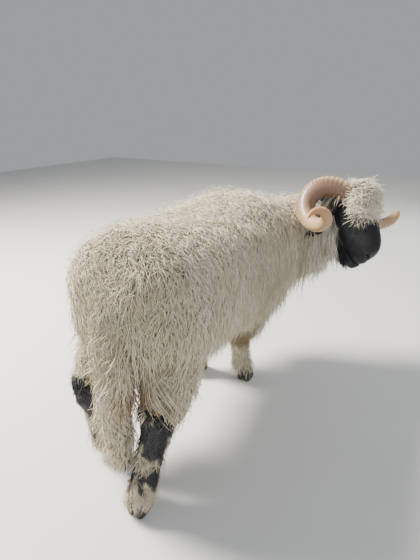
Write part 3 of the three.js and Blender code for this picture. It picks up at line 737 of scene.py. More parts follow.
# %% Places on the skin
class Surface:
    """A mesh's triangles, with all that is needed to pick places on it."""

    def __init__(self, thing):
        mesh = thing.data
        mesh.calc_loop_triangles()
        count = len(mesh.loop_triangles)
        corners = np.empty(count * 3, np.int32)
        mesh.loop_triangles.foreach_get("vertices", corners)
        self.corners = corners.reshape(-1, 3)
        loops = np.empty(count * 3, np.int32)
        mesh.loop_triangles.foreach_get("loops", loops)
        flat = np.empty(len(mesh.loops) * 2, np.float32)
        mesh.uv_layers["OFBake"].data.foreach_get("uv", flat)
        self.flat = flat.reshape(-1, 2)[loops].reshape(-1, 3, 2)
        self.normals = normals_of(thing)
        self.points = points_of(thing)
        a, b, c = (self.points[self.corners[:, k]] for k in range(3))
        self.areas = np.linalg.norm(np.cross(b - a, c - a), axis=1) / 2

    def pick(self, weights, count):
        """Random places, spread by area times the weight given for each vertex: the running
        total of both is cut into equal steps with one place in each."""
        chance = self.areas * weights[self.corners].mean(axis=1)
        total = np.cumsum(chance)
        wanted = (np.arange(count) + dice.random(count)) / count * total[-1]
        chosen = np.minimum(np.searchsorted(total, wanted), len(total) - 1)
        shares = -np.log(dice.random((count, 3)))
        shares = (shares / shares.sum(axis=1, keepdims=True))[..., None]
        corners = self.corners[chosen]
        place = (self.points[corners] * shares).sum(axis=1)
        normal = unit((self.normals[corners] * shares).sum(axis=1))
        flat = (self.flat[chosen] * shares).sum(axis=1)
        return place, normal, flat


surface = Surface(skin)
print("skin area", round(float(surface.areas.sum()), 2), "square metres")


# %% Locks and strands
def rooted(weights, count, on=surface):
    """Roots for the script's share of count strands. Gives them, their places, normals
    and number."""
    roots = on.pick(weights, int(count * SHARE))
    return roots, roots[0], roots[1], len(roots[0])


def nearest(places, seeds, chunk=4000):
    """For each place the index of its nearest seed."""
    own = (seeds**2).sum(axis=1)
    parts = [np.argmin(own - 2 * places[k:k + chunk] @ seeds.T, axis=1) for k in range(0, len(places), chunk)]
    return np.concatenate(parts)


def gathered(places, per_lock, rounds=2):
    """Sorts places into locks of about per_lock strands: seeds start on random places and
    move to the middle of the places nearest to them. Gives each place's lock and the seeds."""
    count = max(1, len(places) // per_lock)
    seeds = places[dice.choice(len(places), count, replace=False)]
    for _ in range(rounds):
        owner = nearest(places, seeds)
        size = np.bincount(owner, minlength=count)[:, None]
        total = np.stack([np.bincount(owner, places[:, k], count) for k in range(3)], axis=1)
        seeds = np.where(size > 0, total / np.maximum(size, 1), seeds)
    return nearest(places, seeds), seeds


def strand_paths(place, normal, lie, look, stations):
    """Places along the strands. A strand walks along its lie while it bends towards the skin
    and sags downward, rises off the skin by lift, quickly at first, and circles its path by curl."""
    s = np.linspace(0, 1, stations)[None, :, None]
    bend, sag, length, lift, curl, turns, phase = (
        look[key][:, None, None] for key in ("bend", "sag", "length", "lift", "curl", "turns", "phase")
    )
    way = unit(lie[:, None] - normal[:, None] * bend * s - UP * sag * s)
    walk = np.cumsum(way, axis=1) - way[:, :1]
    path = place[:, None] + walk * length / (stations - 1)
    path = path + normal[:, None] * lift * (1 - (1 - s) ** 2.6)
    side = unit(np.cross(normal, lie))[:, None]
    angle = 2 * math.pi * turns * s + phase
    return path + curl * s**0.7 * (side * np.sin(angle) + 0.7 * normal[:, None] * np.cos(angle)), s


def prisms(path, normal, width, taper):
    """Closed three-sided prisms around paths. The corners stand at three angles around the
    path, wider across the lie than off it, and all meet at the tip. Gives points and triangles."""
    count, stations = path.shape[:2]
    along = unit(np.gradient(path, axis=1))
    side = unit(np.cross(along, normal[:, None]))
    over = np.cross(side, along)
    angle = np.array([0.5, 7 / 6, 11 / 6]) * math.pi
    size = (width[:, None] * taper[None, :])[:, :-1, None, None]
    ring = path[:, :-1, None] + size * (
        side[:, :-1, None] * np.cos(angle)[:, None] + 0.75 * over[:, :-1, None] * np.sin(angle)[:, None]
    )
    per = 3 * (stations - 1) + 1
    points = np.concatenate([ring.reshape(count, -1, 3), path[:, -1:]], axis=1)
    first = np.arange(stations - 2)[:, None] * 3
    k = np.arange(3)[None]
    n = (k + 1) % 3
    a, b, c, d = first + k, first + n, first + 3 + n, first + 3 + k
    walls = np.stack([a, b, d, b, c, d], axis=-1).reshape(-1, 3)
    last = 3 * (stations - 2)
    tip = np.array([[last + j, last + (j + 1) % 3, per - 1] for j in range(3)])
    one = np.vstack([[[0, 2, 1]], walls, tip])
    triangles = (one[None] + (np.arange(count) * per)[:, None, None]).reshape(-1, 3)
    return points.reshape(-1, 3), triangles, per


def coat_piece(name, points, triangles, colours, flat):
    """One joined mesh of tufts, with its colours and its patch map."""
    thing = mesh_object(name, points, triangles)
    store(thing, "coat", *colours.T)
    layer = thing.data.uv_layers.new(name="OFBake")
    layer.data.foreach_set("uv", np.ascontiguousarray(flat[triangles.ravel()], np.float32).ravel())
    thing.data.materials.append(fleece)
    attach(thing, "root")
    return thing


PATCH = 0.003
MOST_TRIANGLES = 190000
MOST_DRIFT = 0.018
LOWEST_TUFT = 0.004
PLAIN_LOOK = {"bend": 0, "sag": 0, "curl": 0, "turns": 0, "pale": 0, "black": 0}
TAPER = {
    8: (0.5, 0.9, 1, 1, 1, 0.85, 0.6, 0),
    5: (0.6, 1, 0.95, 0.65, 0),
    4: (0.7, 1, 0.7, 0),
    3: (0.9, 0.8, 0),
}


def grow(name, roots, lie, look, stations, per_lock=0, pull=0.6):
    """Grows strands into pieces of limited size. Each value of the look is one number or one
    for each strand. With per_lock they are gathered into locks: the strands of a lock share
    its wave, and their tips are pulled together."""
    place, normal, flat = roots
    count = len(place)
    look = {key: np.zeros(count) + value for key, value in {**PLAIN_LOOK, **look}.items()}
    tone = dice.random(count)
    if per_lock:
        owner, seeds = gathered(place, per_lock)
        lock_tone, lock_phase = dice.random(len(seeds)), dice.random(len(seeds)) * 2 * math.pi
        lock_stretch = 0.8 + 0.4 * dice.random(len(seeds))
        lock_turns = 0.8 + 0.4 * dice.random(len(seeds))
        tone = 0.3 * tone + 0.45 * lock_tone[owner] + 0.25 * (0.5 + 0.5 * ripple(place, 0.1, 26))
        look["phase"] = lock_phase[owner] + 0.7 * dice.normal(size=count)
        look["turns"] = look["turns"] * lock_turns[owner]
        look["length"] = look["length"] * lock_stretch[owner]
    else:
        look["phase"] = dice.random(count) * 2 * math.pi
    path, s = strand_paths(place, normal, lie, look, stations)
    if per_lock:
        drift = place - seeds[owner]
        drift = drift - normal * (drift * normal).sum(axis=1, keepdims=True)
        drift = drift * np.minimum(1, MOST_DRIFT / np.linalg.norm(drift, axis=1, keepdims=True))
        path = path - drift[:, None] * pull * s**1.3
    path[..., 2] = np.maximum(path[..., 2], LOWEST_TUFT)
    points, triangles, per = prisms(path, normal, look["width"], np.array(TAPER[stations]))
    black, stain = markings(to_animal(place))
    black = np.maximum(black, look["black"])
    # The fourth value runs from 0.15 at the root to 1 at the tip; the material uses it to darken the roots as
    # painted shade.
    share = np.append(np.repeat(np.linspace(0.15, 1, stations)[:-1], 3), 1.0)
    colours = np.empty((count, per, 4))
    colours[..., 0] = black[:, None]
    colours[..., 1] = stain[:, None]
    colours[..., 2] = np.clip(tone + look["pale"], 0, 1)[:, None]
    colours[..., 3] = share[None]
    corner = np.append(np.tile([-0.5, 0, 0.5], stations - 1), 0)
    spot = np.stack([corner, share - 0.5], axis=1) * PATCH
    patches = (flat[:, None] + spot[None]).reshape(-1, 2)
    colours = colours.reshape(-1, 4)
    faces = len(triangles) // count
    most = MOST_TRIANGLES // faces
    order = np.argsort(place[:, 0]) if count > most else np.arange(count)
    pieces = []
    for number, start in enumerate(range(0, count, most)):
        chosen = order[start:start + most]
        vertices = (chosen[:, None] * per + np.arange(per)).ravel()
        piece_faces = triangles[: len(chosen) * faces]
        label = name if count <= most else f"{name}_{number + 1}"
        pieces.append(coat_piece(label, points[vertices], piece_faces, colours[vertices], patches[vertices]))
    print(name, "strands", count, "pieces", len(pieces), "triangles", count * faces)
    return pieces


def projected(pull, normal):
    """The part of the pull that lies along the skin, as unit vectors."""
    return unit(pull - normal * (pull * normal).sum(axis=1, keepdims=True))


def turned(lie, normal, angle):
    """The lie turned about the normal by an angle."""
    return lie * np.cos(angle)[:, None] + np.cross(normal, lie) * np.sin(angle)[:, None]


# %% Body wool
REAR_END, FRONT_START = 120, 260
HIND_LEG_END, FORELEG_START = 230, 560
TAIL_MIDDLE, TAIL_REACH, TAIL_TOP = -38, 66, 640
HIND_HEM, BELLY_HEM, FORE_HEM, TAIL_HEM = 330, 318, 215, 108
LEGS_PART, HIND_WOOL_END, FORE_WOOL_END = 320, 318, 195
COAT_DEPTH = 35


def at_rear(places):
    """1 on the rump and thighs, 0 further forward."""
    return 1 - ramp(places[:, 0], REAR_END, FRONT_START)


def outmost_rear(places, normal):
    """1 where the rear of the animal faces straight back."""
    return at_rear(places) * ramp(-normal[:, 0], 0.3, 0.9)


def on_tail(places):
    """1 on the hanging part of the tail, which lies behind both thighs."""
    behind = 1 - ramp(places[:, 0], -22, -8)
    beside = np.abs(places[:, 1] - TAIL_MIDDLE) < TAIL_REACH
    return behind * beside * (places[:, 2] < TAIL_TOP) * ramp(places[:, 2], 80, 110)


def wool_share(places):
    """1 where wool grows: all but the black of the face and the bare lower legs."""
    black, _ = markings(places)
    head = head_share(places)
    hem = np.where(places[:, 0] < LEGS_PART, HIND_WOOL_END, FORE_WOOL_END)
    leg = ramp(places[:, 2], hem - 25, hem + 10)
    return np.maximum(leg, on_tail(places)) * (1 - head * black)


def curtain(places):
    """1 on the rear of the thighs beside the tail, where longer wool narrows the gap."""
    right = patch(places, (-20, -98, 480), (80, 52, 130), 0.0)
    return np.maximum(right, 0.5 * patch(places, (0, 16, 520), (60, 36, 90), 0.0))


def lowest_tip(places):
    """How low the wool's tips may hang below each root: at the belly, lower on the forelegs
    and on the front of the hocks, and lowest on the tail."""
    front = ramp(places[:, 0] - 0.5 * np.maximum(places[:, 1], 0), -20, 60)
    inner = (np.abs(places[:, 1] + 20) < 95) * (places[:, 2] > 380)
    hind = HIND_HEM - 70 * front - 70 * np.maximum(inner, curtain(places))
    other = np.where(places[:, 0] > FORELEG_START, FORE_HEM, BELLY_HEM)
    lowest = np.where(places[:, 0] < HIND_LEG_END, hind, other)
    return np.where(on_tail(places) > 0.5, TAIL_HEM, lowest)


def coat_depth(places):
    """How far the coat's surface stands off the skin, in metres: less on tail and legs."""
    height = places[:, 2]
    hind = np.interp(height, (260, 385, 500, 570), (7, 18, 30, COAT_DEPTH))
    fore = np.interp(height, (210, 300, 430, 500), (7, 20, 32, COAT_DEPTH))
    other = np.where(places[:, 0] > FORELEG_START, fore, COAT_DEPTH)
    depth = np.where(places[:, 0] < HIND_LEG_END, hind, other)
    tail = np.interp(height, (100, 300), (10, 18))
    tail_share = on_tail(places) > 0.5
    folds = 0.16 * ripple(places, 150, 12) + 0.12 * ripple(places * [1, 1, 0.3], 60, 14)
    folds = folds * ramp(depth, 15, 30) * (1 - tail_share)
    return np.where(tail_share, tail, depth) * (0.95 + folds) / 1000


BODY_RADIUS = 0.22
SHORTEST_WOOL, LONGEST_WOOL = 0.03, 0.18
THROAT, THROAT_SIZES = (-10, 0, -110), (130, 130, 130)
skin_head = head_share(skin_places)
skin_wool = wool_share(skin_places)
up_share = ramp(surface.normals[:, 2], 0.1, 0.6)
rear_share = at_rear(skin_places)
body_wool = skin_wool * (1 - 0.98 * skin_head)
wool_pull = np.array([-0.35, 0.0, -1.0])


def body_coat(name, weight, count, stations, per_lock, pull=0.6, depth=(0.25, 1.0), size=1.0, reach=1.0):
    """Wool on the trunk, neck, tail and upper legs: curly and tousled where the skin faces
    up, wavy behind, long and hanging on the sides, shorter towards the hems."""
    roots, place, normal, number = rooted(weight, count)
    at = to_animal(place)
    facing_up = ramp(normal[:, 2], 0.25, 0.8)
    below = ramp(-normal[:, 2], 0.05, 0.6)
    rear = at_rear(at)
    throat = ramp(-at[:, 1], 120, 240) * below
    inner = rear * below * (np.abs(at[:, 1] + 20) < 110)
    depth_here = coat_depth(at)
    lie = projected(wool_pull, normal)
    swirl = (0.45 + 1.0 * facing_up) * ripple(at, 110, 21)
    swirl = swirl + (0.32 + 0.45 * facing_up) * dice.normal(size=number)
    lie = turned(lie, normal, swirl)
    beside_tail = curtain(at)
    black, _ = markings(at)
    length = 0.112 - 0.04 * facing_up - 0.012 * rear + 0.03 * throat + 0.06 * np.maximum(inner, beside_tail)
    length = reach * length * (0.7 + 0.55 * dice.random(number))
    length = length * (1 - 0.5 * black) * (1 - 0.35 * on_tail(at))
    room_below = (at[:, 2] - lowest_tip(at)) / 1000
    length = np.clip(np.minimum(length, room_below), SHORTEST_WOOL, LONGEST_WOOL)
    lift = depth_here * (depth[0] + (depth[1] - depth[0]) * dice.random(number) ** 0.6)
    outmost = outmost_rear(at, normal)
    lift = lift * (1 + 0.7 * beside_tail) * (1 - 0.5 * black) * (1 - 0.25 * outmost * (1 - beside_tail))
    curl = (0.0042 + 0.001 * facing_up + 0.003 * rear) * (0.5 + 1.0 * dice.random(number))
    look = {
        "length": length,
        "lift": lift * (1 - 0.5 * below * (1 - throat)),
        "bend": length / BODY_RADIUS * ramp(normal[:, 2], -0.1, 0.3) * 1.3,
        "sag": 0.25 + 1.2 * below,
        "curl": np.minimum(curl, 0.38 * depth_here) * reach * (1 - 0.3 * outmost),
        "turns": (stations - 1) * (0.15 + 0.08 * dice.random(number)),
        "width": size * (0.0012 + 0.0003 * facing_up + 0.0006 * rear + 0.0006 * dice.random(number)),
        "pale": 0.6 * patch(in_head(at), THROAT, THROAT_SIZES, 0.0),
    }
    return grow(name, roots, lie, look, stations, per_lock, pull)


body_wool = body_wool * (1 - 0.55 * ramp(-surface.normals[:, 2], 0.3, 0.8))
body_coat("undercoat", body_wool, 12000, stations=3, per_lock=0, depth=(0.1, 0.6), size=3.0, reach=0.5)
side_wool = body_wool * (1 - up_share)
body_coat("wool_flank", side_wool * (1 - rear_share), 11800, stations=5, per_lock=6, size=0.82)
rear_wool = side_wool * rear_share * (1 + 1.2 * curtain(skin_places))
body_coat("wool_rear", rear_wool, 6700, stations=8, per_lock=6, pull=0.8, size=0.88)
body_coat("wool_back", body_wool * up_share, 15200, stations=5, per_lock=7, depth=(0.4, 1.0), size=0.72)

# %% Frizz
roots, place, normal, number = rooted(body_wool, 10000)
at = to_animal(place)
lie = turned(projected(wool_pull, normal), normal, 1.1 * dice.normal(size=number))
outmost = outmost_rear(at, normal)
surface_lift = coat_depth(at) * (0.7 + 0.35 * dice.random(number)) * (1 - 0.35 * outmost)
look = {
    "length": 0.022 + 0.02 * dice.random(number),
    "lift": (0.003 + 0.008 * dice.random(number)) * (1 - 0.5 * outmost),
    "curl": 0.003,
    "turns": 0.6,
    "width": 0.0006,
    "pale": 0.3,
}
grow("frizz", (place + normal * surface_lift[:, None], normal, roots[2]), lie, look, stations=3)

# %% [markdown]
# ## Topknot
# The wool on the crown falls forward over the forehead in short, tight curls.
# Behind the cheeks it hangs down in soft wisps.

# %% Topknot and cheek wool
def on_crown(places):
    """1 on the crown and forehead, 0 on cheeks and nape."""
    return ramp(in_head(places)[:, 2], 10, 40)


crown = skin_wool * skin_head
roots, place, normal, number = rooted(crown * on_crown(skin_places), 3800)
forward = HEAD_TURN @ np.array([0.8, 0.0, -0.6])
at = to_animal(place)
lie = projected(forward, normal)
lie = turned(lie, normal, 1.3 * ripple(at, 55, 31) + 0.8 * dice.normal(size=number))
at_poll = 1 - ramp(in_head(at)[:, 0], 0, 45)
far_side = ramp(in_head(at)[:, 1], 0, 50) * ramp(in_head(at)[:, 2], 40, 70)
look = {
    "length": 0.055 * (0.6 + 0.7 * dice.random(number)) * (1 - 0.2 * far_side),
    "lift": (0.006 + 0.015 * dice.random(number)) * (1 + 0.5 * at_poll) * (1 - 0.6 * far_side),
    "bend": 0.5 - 0.4 * at_poll,
    "curl": 0.004 + 0.004 * dice.random(number),
    "turns": 1.0 + 0.6 * dice.random(number),
    "width": 0.0011 + 0.0009 * dice.random(number),
    "pale": 0.45,
}
topknot = grow("topknot", roots, lie, look, stations=8, per_lock=5, pull=0.6)
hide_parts("forelock")

roots, place, normal, number = rooted(crown * (1 - on_crown(skin_places)), 2900)
lie = projected(wool_pull, normal)
lie = turned(lie, normal, 0.5 * ripple(to_animal(place), 60, 17) + 0.3 * dice.normal(size=number))
look = {
    "length": 0.085 * (0.6 + 0.7 * dice.random(number)),
    "lift": 0.010 + 0.026 * dice.random(number),
    "sag": 0.9,
    "pale": 0.8,
    "curl": 0.003 + 0.003 * dice.random(number),
    "turns": 0.6 + 0.3 * dice.random(number),
    "width": 0.0011 + 0.0006 * dice.random(number),
}
grow("cheek_wool", roots, lie, look, stations=5, per_lock=6)

# %% Fur behind the horns
roots, place, normal, number = rooted(ear_root(skin_places), 1500)
backward = HEAD_TURN @ np.array([-1.0, 0.0, -0.2])
look = {
    "length": 0.045 * (0.6 + 0.7 * dice.random(number)),
    "lift": 0.010 + 0.026 * dice.random(number),
    "pale": 0.6,
    "curl": 0.001,
    "turns": 0.7,
    "width": 0.0008 + 0.0006 * dice.random(number),
}
grow("fur_behind_horns", roots, projected(backward, normal), look, stations=5, per_lock=5)

# %% [markdown]
# ## Short hair
# The black face, the ears and the lower legs carry short hair that lies flat.
# Its body is in the skin's bump; thin tufts break the outline.

# %% Hair of the legs and the face
fur_weight = (1 - skin_wool) * (1 - skin_head)
roots, place, normal, number = rooted(fur_weight, 5400)
at = to_animal(place)
black, _ = markings(at)
lie = projected(np.array([-0.15, 0.0, -1.0]), normal)
lie = turned(lie, normal, 0.5 * ripple(at, 50, 9) + 0.35 * dice.normal(size=number))
shaggy = (1 - black) * ramp(at[:, 2], 30, 60)
in_front = ramp(normal[:, 0], 0.0, 0.7)
fetlock = shaggy * bell(at[:, 2] - 95, 45)
look = {
    "length": (0.013 + 0.022 * shaggy + 0.02 * fetlock) * (0.7 + 0.6 * dice.random(number)),
    "lift": 0.0015 + (0.006 + 0.008 * np.maximum(in_front, fetlock)) * shaggy * dice.random(number),
    "curl": 0.0004 + 0.0022 * shaggy,
    "turns": 0.6 + 0.6 * dice.random(number),
    "width": 0.0006 + 0.0005 * shaggy,
}
grow("leg_hair", roots, lie, look, stations=4, per_lock=4, pull=0.5)

face_weight = (1 - skin_wool) * skin_head * (1 - 0.97 * ramp(in_head(skin_places)[:, 0], 200, 228))
roots, place, normal, number = rooted(face_weight, 6000)
toward_nose = HEAD_TURN @ np.array([1.0, 0.0, -0.25])
lie = turned(projected(toward_nose, normal), normal, 0.4 * dice.normal(size=number))
look = {
    "length": 0.006 + 0.004 * dice.random(number),
    "lift": 0.0006 + 0.0010 * dice.random(number),
    "width": 0.00045,
}
grow("face_hair", roots, lie, look, stations=3)

# %% Black wool under the jaw
along_nose, _, off_forehead = in_head(skin_places).T
under_jaw = ramp(-off_forehead, 56, 84) * ramp(along_nose, 118, 150) * (1 - ramp(along_nose, 196, 222))
roots, place, normal, number = rooted((1 - skin_wool) * skin_head * under_jaw, 1000)
lie = turned(projected(wool_pull, normal), normal, 0.4 * dice.normal(size=number))
look = {
    "length": 0.030 * (0.6 + 0.7 * dice.random(number)),
    "lift": 0.003 + 0.007 * dice.random(number),
    "sag": 1.0,
    "curl": 0.0015 + 0.002 * dice.random(number),
    "turns": 0.5 + 0.3 * dice.random(number),
    "width": 0.0008 + 0.0004 * dice.random(number),
}
grow("jaw_wool", roots, lie, look, stations=5, per_lock=5)

# %% [markdown]
# ## Horns
# A ram's horn grows in a spiral and adds a ridge with every season's growth.
# The body is swept along nearly the spiral of the solid, a little lower and
# flatter to come nearer to the picture. The ridges are small waves of its
# radius, stronger on the outer keel.

# %% Horns
HORN_FIRST_TURN, HORN_TURNS = math.radians(35), math.radians(492)
HORN_RADIUS, HORN_TIGHTENING, HORN_LOWNESS = 111, 0.16, 0.88
HORN_START, HORN_DRIFT = (-54, 50, -33), (143, 292, -43)
HORN_HALVES = [(34, 34, 34), (34, 35, 35), (29, 29, 29), (24, 24, 24), (18, 18, 18), (11, 12, 12), (3, 3, 3)]
HORN_RIDGES = 58
HORN_FLATNESS = 7


def horn_curve(side):
    """The horn's middle line: an oval, lower than it is long, that shrinks with the turn
    while its centre drifts out to the side, forward and down."""
    def path(t):
        turn = HORN_FIRST_TURN + t * HORN_TURNS
        radius = HORN_RADIUS * np.exp(-HORN_TIGHTENING * turn)
        return np.stack([
            HORN_START[0] + HORN_DRIFT[0] * t + radius * np.cos(turn),
            side * (HORN_START[1] + HORN_DRIFT[1] * t**0.8),
            HORN_START[2] + HORN_DRIFT[2] * t + HORN_LOWNESS * radius * np.sin(turn),
        ], axis=-1)
    return path


def horn_body(side, rings=460, sides=36):
    """Rings across the horn's curve, rounded boxes with ridges, and the share along it."""
    path = horn_curve(side)
    t, size, _ = rounded_ends(0.0, 0.03, rings)
    centre, _, across, over = frames(path, t, np.array([0.0, 1.0, 0.0]))
    half = through(HORN_HALVES, t)
    angle, wide, tall = rounded_box(sides, square=2.3)
    turn = HORN_FIRST_TURN + t * HORN_TURNS
    outward = np.stack([np.cos(turn), np.zeros(len(t)), np.sin(turn)], axis=1)
    facing = (across * outward).sum(axis=1)[:, None] * np.cos(angle)
    facing = facing + (over * outward).sum(axis=1)[:, None] * np.sin(angle)
    keel = 0.5 + 0.5 * facing
    wobble = 0.35 * np.sin(t * 37) + 0.25 * np.sin(t * 91)
    phase = t[:, None] * HORN_RIDGES * 2 * math.pi + wobble[:, None] * 2 + 0.7 * np.sin(angle)[None]
    crest = (0.5 + 0.5 * np.sin(phase)) ** 1.7 - 0.4
    uneven = 0.65 + 0.35 * np.sin(t * 53) * np.sin(t * 31 + 1)
    ridge = crest * (0.35 + 2.5 * keel**5) * (uneven * (1 - 0.85 * ramp(t, 0.75, 0.97)))[:, None]
    ridge = ridge + HORN_FLATNESS * (1 - keel) ** 2 * (1 - ramp(t, 0.25, 0.6))[:, None]
    sideways = wide * (half[:, :1] + ridge) * size[:, None]
    ring = ringed(centre, across, over, sideways, tall * (half[:, 1:2] + ridge) * size[:, None])
    first, last = path(np.array([0.0, 1.0]))
    points, triangles = closed_tube(ring, first, last)
    share = np.concatenate([[0], np.repeat(t, sides), [1]])
    height = np.concatenate([[0.5], np.clip(0.5 + crest, 0, 1).ravel(), [0.5]])
    keel = np.concatenate([[0.5], keel.ravel(), [0.5]])
    return points, triangles, share, height, keel


HORN_CREAM = (0.62, 0.42, 0.23)
HORN_TAN = (0.55, 0.24, 0.08)
HORN_PAINTED_SHADE = (0.15, 0.075, 0.058)
HORN_GROOVE_PAINTED_SHADE = (0.17, 0.09, 0.05)
horn_paint, nodes, links, shader = material("horn", roughness=0.48, coat=0.15)
along_horn, ridge_height, outer_keel, _ = stored_values(nodes, links, "grown")
streak = noise(nodes, links, 34.0, detail=5.0)
# The horn's side faces get a dark, streaked colour: painted shade. Only the outer keel keeps the horn's own
# cream.
face = mixed(nodes, links, streak, HORN_PAINTED_SHADE, mixed(nodes, links, 0.22, HORN_PAINTED_SHADE, HORN_CREAM))
colour = mixed(nodes, links, outer_keel, face, HORN_CREAM)
colour = mixed(nodes, links, along_horn, colour, HORN_TAN)
# Low between the ridges the horn darkens: painted shade in the grooves.
colour = mixed(nodes, links, ridge_height, mixed(nodes, links, 0.5, colour, HORN_GROOVE_PAINTED_SHADE), colour)
links.new(colour, shader.inputs["Base Color"])
bumped(nodes, links, shader, noise(nodes, links, 420.0), 0.35, 0.001)

for name, sign in (("right", -1), ("left", 1)):
    points, triangles, share, height, keel = horn_body(sign)
    horn = mesh_object(f"ridged_horn_{name}", to_scene(from_poll(points)), triangles)
    # The third value is 1 where the horn shows its cream. Near the base only the outer keel does, and the
    # other faces take painted shade, which fades towards the tip.
    fading = 1 - ramp(share, 0.2, 0.6)
    store(horn, "grown", 0.9 * ramp(share, 0.5, 0.95), height, 1 - fading * (1 - ramp(keel, 0.74, 1.0)))
    horn.data.materials.append(horn_paint)
    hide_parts(f"horn_{name}")
    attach(horn, "root")
    print(horn.name, "faces", len(triangles))

# %% [markdown]
# ## Eyes and lids
# A sheep's eye is an amber ball with a wide, level pupil; here its amber is painted dark as shade. The lids
# are two soft rims around an almond opening, so they are one closed loop that lies on
# the ball's surface.

# %% Eyes
eye_paint, nodes, links, shader = material("eye", roughness=0.08, coat=1.0)
iris, pupil, _, _ = stored_values(nodes, links, "eye")
fleck = noise(nodes, links, 900.0)
# The iris is the eye's own amber, painted much darker as shade.
amber = mixed(nodes, links, fleck, (0.055, 0.026, 0.008), (0.12, 0.06, 0.018))
colour = mixed(nodes, links, iris, (0.03, 0.024, 0.022), amber)
links.new(mixed(nodes, links, pupil, colour, (0.004, 0.004, 0.006)), shader.inputs["Base Color"])

lid_paint, nodes, links, shader = material("lid", roughness=0.42)
wet = noise(nodes, links, 300.0)
links.new(mixed(nodes, links, wet, (0.008, 0.008, 0.010), (0.022, 0.021, 0.025)), shader.inputs["Base Color"])
bumped(nodes, links, shader, wet, 0.3, 0.001)


IRIS_RADIUS = 10.0
PUPIL_HALVES = (6.2, 2.3)


def eye_ball(radius, wide=72, high=48):
    """A ball whose poles lie across the line of sight: rings of growing and shrinking size."""
    latitude = (np.arange(1, high) / high - 0.5) * math.pi
    longitude = np.arange(wide) / wide * 2 * math.pi
    ring = np.stack([
        np.cos(latitude)[:, None] * np.cos(longitude)[None],
        np.cos(latitude)[:, None] * np.sin(longitude)[None],
        np.repeat(np.sin(latitude)[:, None], wide, axis=1),
    ], axis=-1)
    points, triangles = closed_tube(ring, np.array([0, 0, -1.0]), np.array([0, 0, 1.0]))
    return points * radius, triangles


def loop_tube(middle, radius, sides=14):
    """A closed loop of round cross-section around a closed middle line."""
    along = unit(np.roll(middle, -1, axis=0) - np.roll(middle, 1, axis=0))
    out = unit(middle - EYE)
    side = np.cross(out, along)
    angle = np.arange(sides) / sides * 2 * math.pi
    ring = middle[:, None] + radius[:, None, None] * (
        side[:, None] * np.cos(angle)[:, None] + out[:, None] * np.sin(angle)[:, None]
    )
    count = len(middle)
    at = np.arange(count * sides).reshape(count, sides)
    a, b = at, np.roll(at, -1, axis=1)
    d, c = np.roll(a, -1, axis=0), np.roll(b, -1, axis=0)
    return ring.reshape(-1, 3), np.stack([a, b, d, b, c, d], axis=-1).reshape(-1, 3)


def mirrored(points, triangles, sign):
    """The same shape, or its mirror image with its faces turned outward again."""
    if sign > 0:
        return points, triangles
    return points * [1, -1, 1], triangles[:, ::-1]


for name, sign in (("right", -1), ("left", 1)):
    points, triangles = eye_ball(EYE_RADIUS)
    u, v, out = points @ EYE_ALONG, points @ EYE_UP, points @ EYE_OUT
    points, triangles = mirrored(points + EYE, triangles, sign)
    eye = mesh_object(f"clear_eye_{name}", to_scene(from_head(points)), triangles)
    iris_share = (1 - ramp(np.hypot(u, v), IRIS_RADIUS, IRIS_RADIUS + 1)) * (out > 0)
    pupil_share = (1 - ramp(np.hypot(u / PUPIL_HALVES[0], v / PUPIL_HALVES[1]), 0.9, 1.1)) * (out > 0)
    store(eye, "eye", iris_share, pupil_share)
    eye.data.materials.append(eye_paint)
    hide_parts(f"eye_{name}")
    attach(eye, "root")

    turn = np.arange(64) / 64 * 2 * math.pi
    u = LID_HALF_LENGTH * np.cos(turn)
    v = LID_HALF_HEIGHT * np.sin(turn) * np.abs(np.sin(turn)) ** 0.6
    out = np.sqrt(np.maximum(RIM_BALL**2 - u**2 - v**2, 9.0))
    middle = EYE + u[:, None] * EYE_ALONG + v[:, None] * EYE_UP + out[:, None] * EYE_OUT
    thick = 2.0 + 0.7 * np.sin(turn)
    points, triangles = mirrored(*loop_tube(middle, thick), sign)
    lids = mesh_object(f"lids_{name}", to_scene(from_head(points)), triangles)
    lids.data.materials.append(lid_paint)
    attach(lids, "root")

# %% [markdown]
# ## Ears
# The ears are hollow leaves held out and back below the horns, longer than those
# of the solids. Each is a thin shell: an outer and an inner sheet across the same
# middle line, closed at the edge.

# %% Ears
EAR_LINE = [(4, 54, -44), (-14, 84, -80), (-48, 102, -126), (-88, 110, -172)]
EAR_HALF_WIDTHS = [(16,), (31,), (27,), (6,)]
EAR_WALL = 3.2


def ear_body(sign, rings=44, arc=16):
    """Rings of a cupped leaf: the outer half of a ring runs across the back of the ear and
    the inner half returns inside the cup."""
    path = lambda t: through(np.array(EAR_LINE) * [1, sign, 1], t)
    t = np.linspace(0.0, 0.985, rings)
    centre = path(t)
    along = unit(path(np.minimum(t + 1e-3, 1)) - path(t - 1e-3 * (t > 0)))
    across = unit(np.cross(np.array([0.75, sign * 0.35, -0.55]), along))
    face = np.cross(along, across)
    half = np.maximum(through(EAR_HALF_WIDTHS, t), 2.0) * (1 - ramp(t, 0.9, 1.02) * 0.6)[:, None]
    spread = np.linspace(-1.25, 1.25, arc)
    angle = np.concatenate([spread, spread[::-1]])
    layer = np.concatenate([np.zeros(arc), np.full(arc, EAR_WALL)])
    curl = half * 0.55 * (1 - np.cos(angle)) + layer * np.cos(angle * 0.9)
    reach = (half - (layer > 0)) * np.sin(angle) * 1.05
    ring = ringed(centre, across, face, reach, curl)
    return closed_tube(ring, centre[0], path(np.array([1.0]))[0])


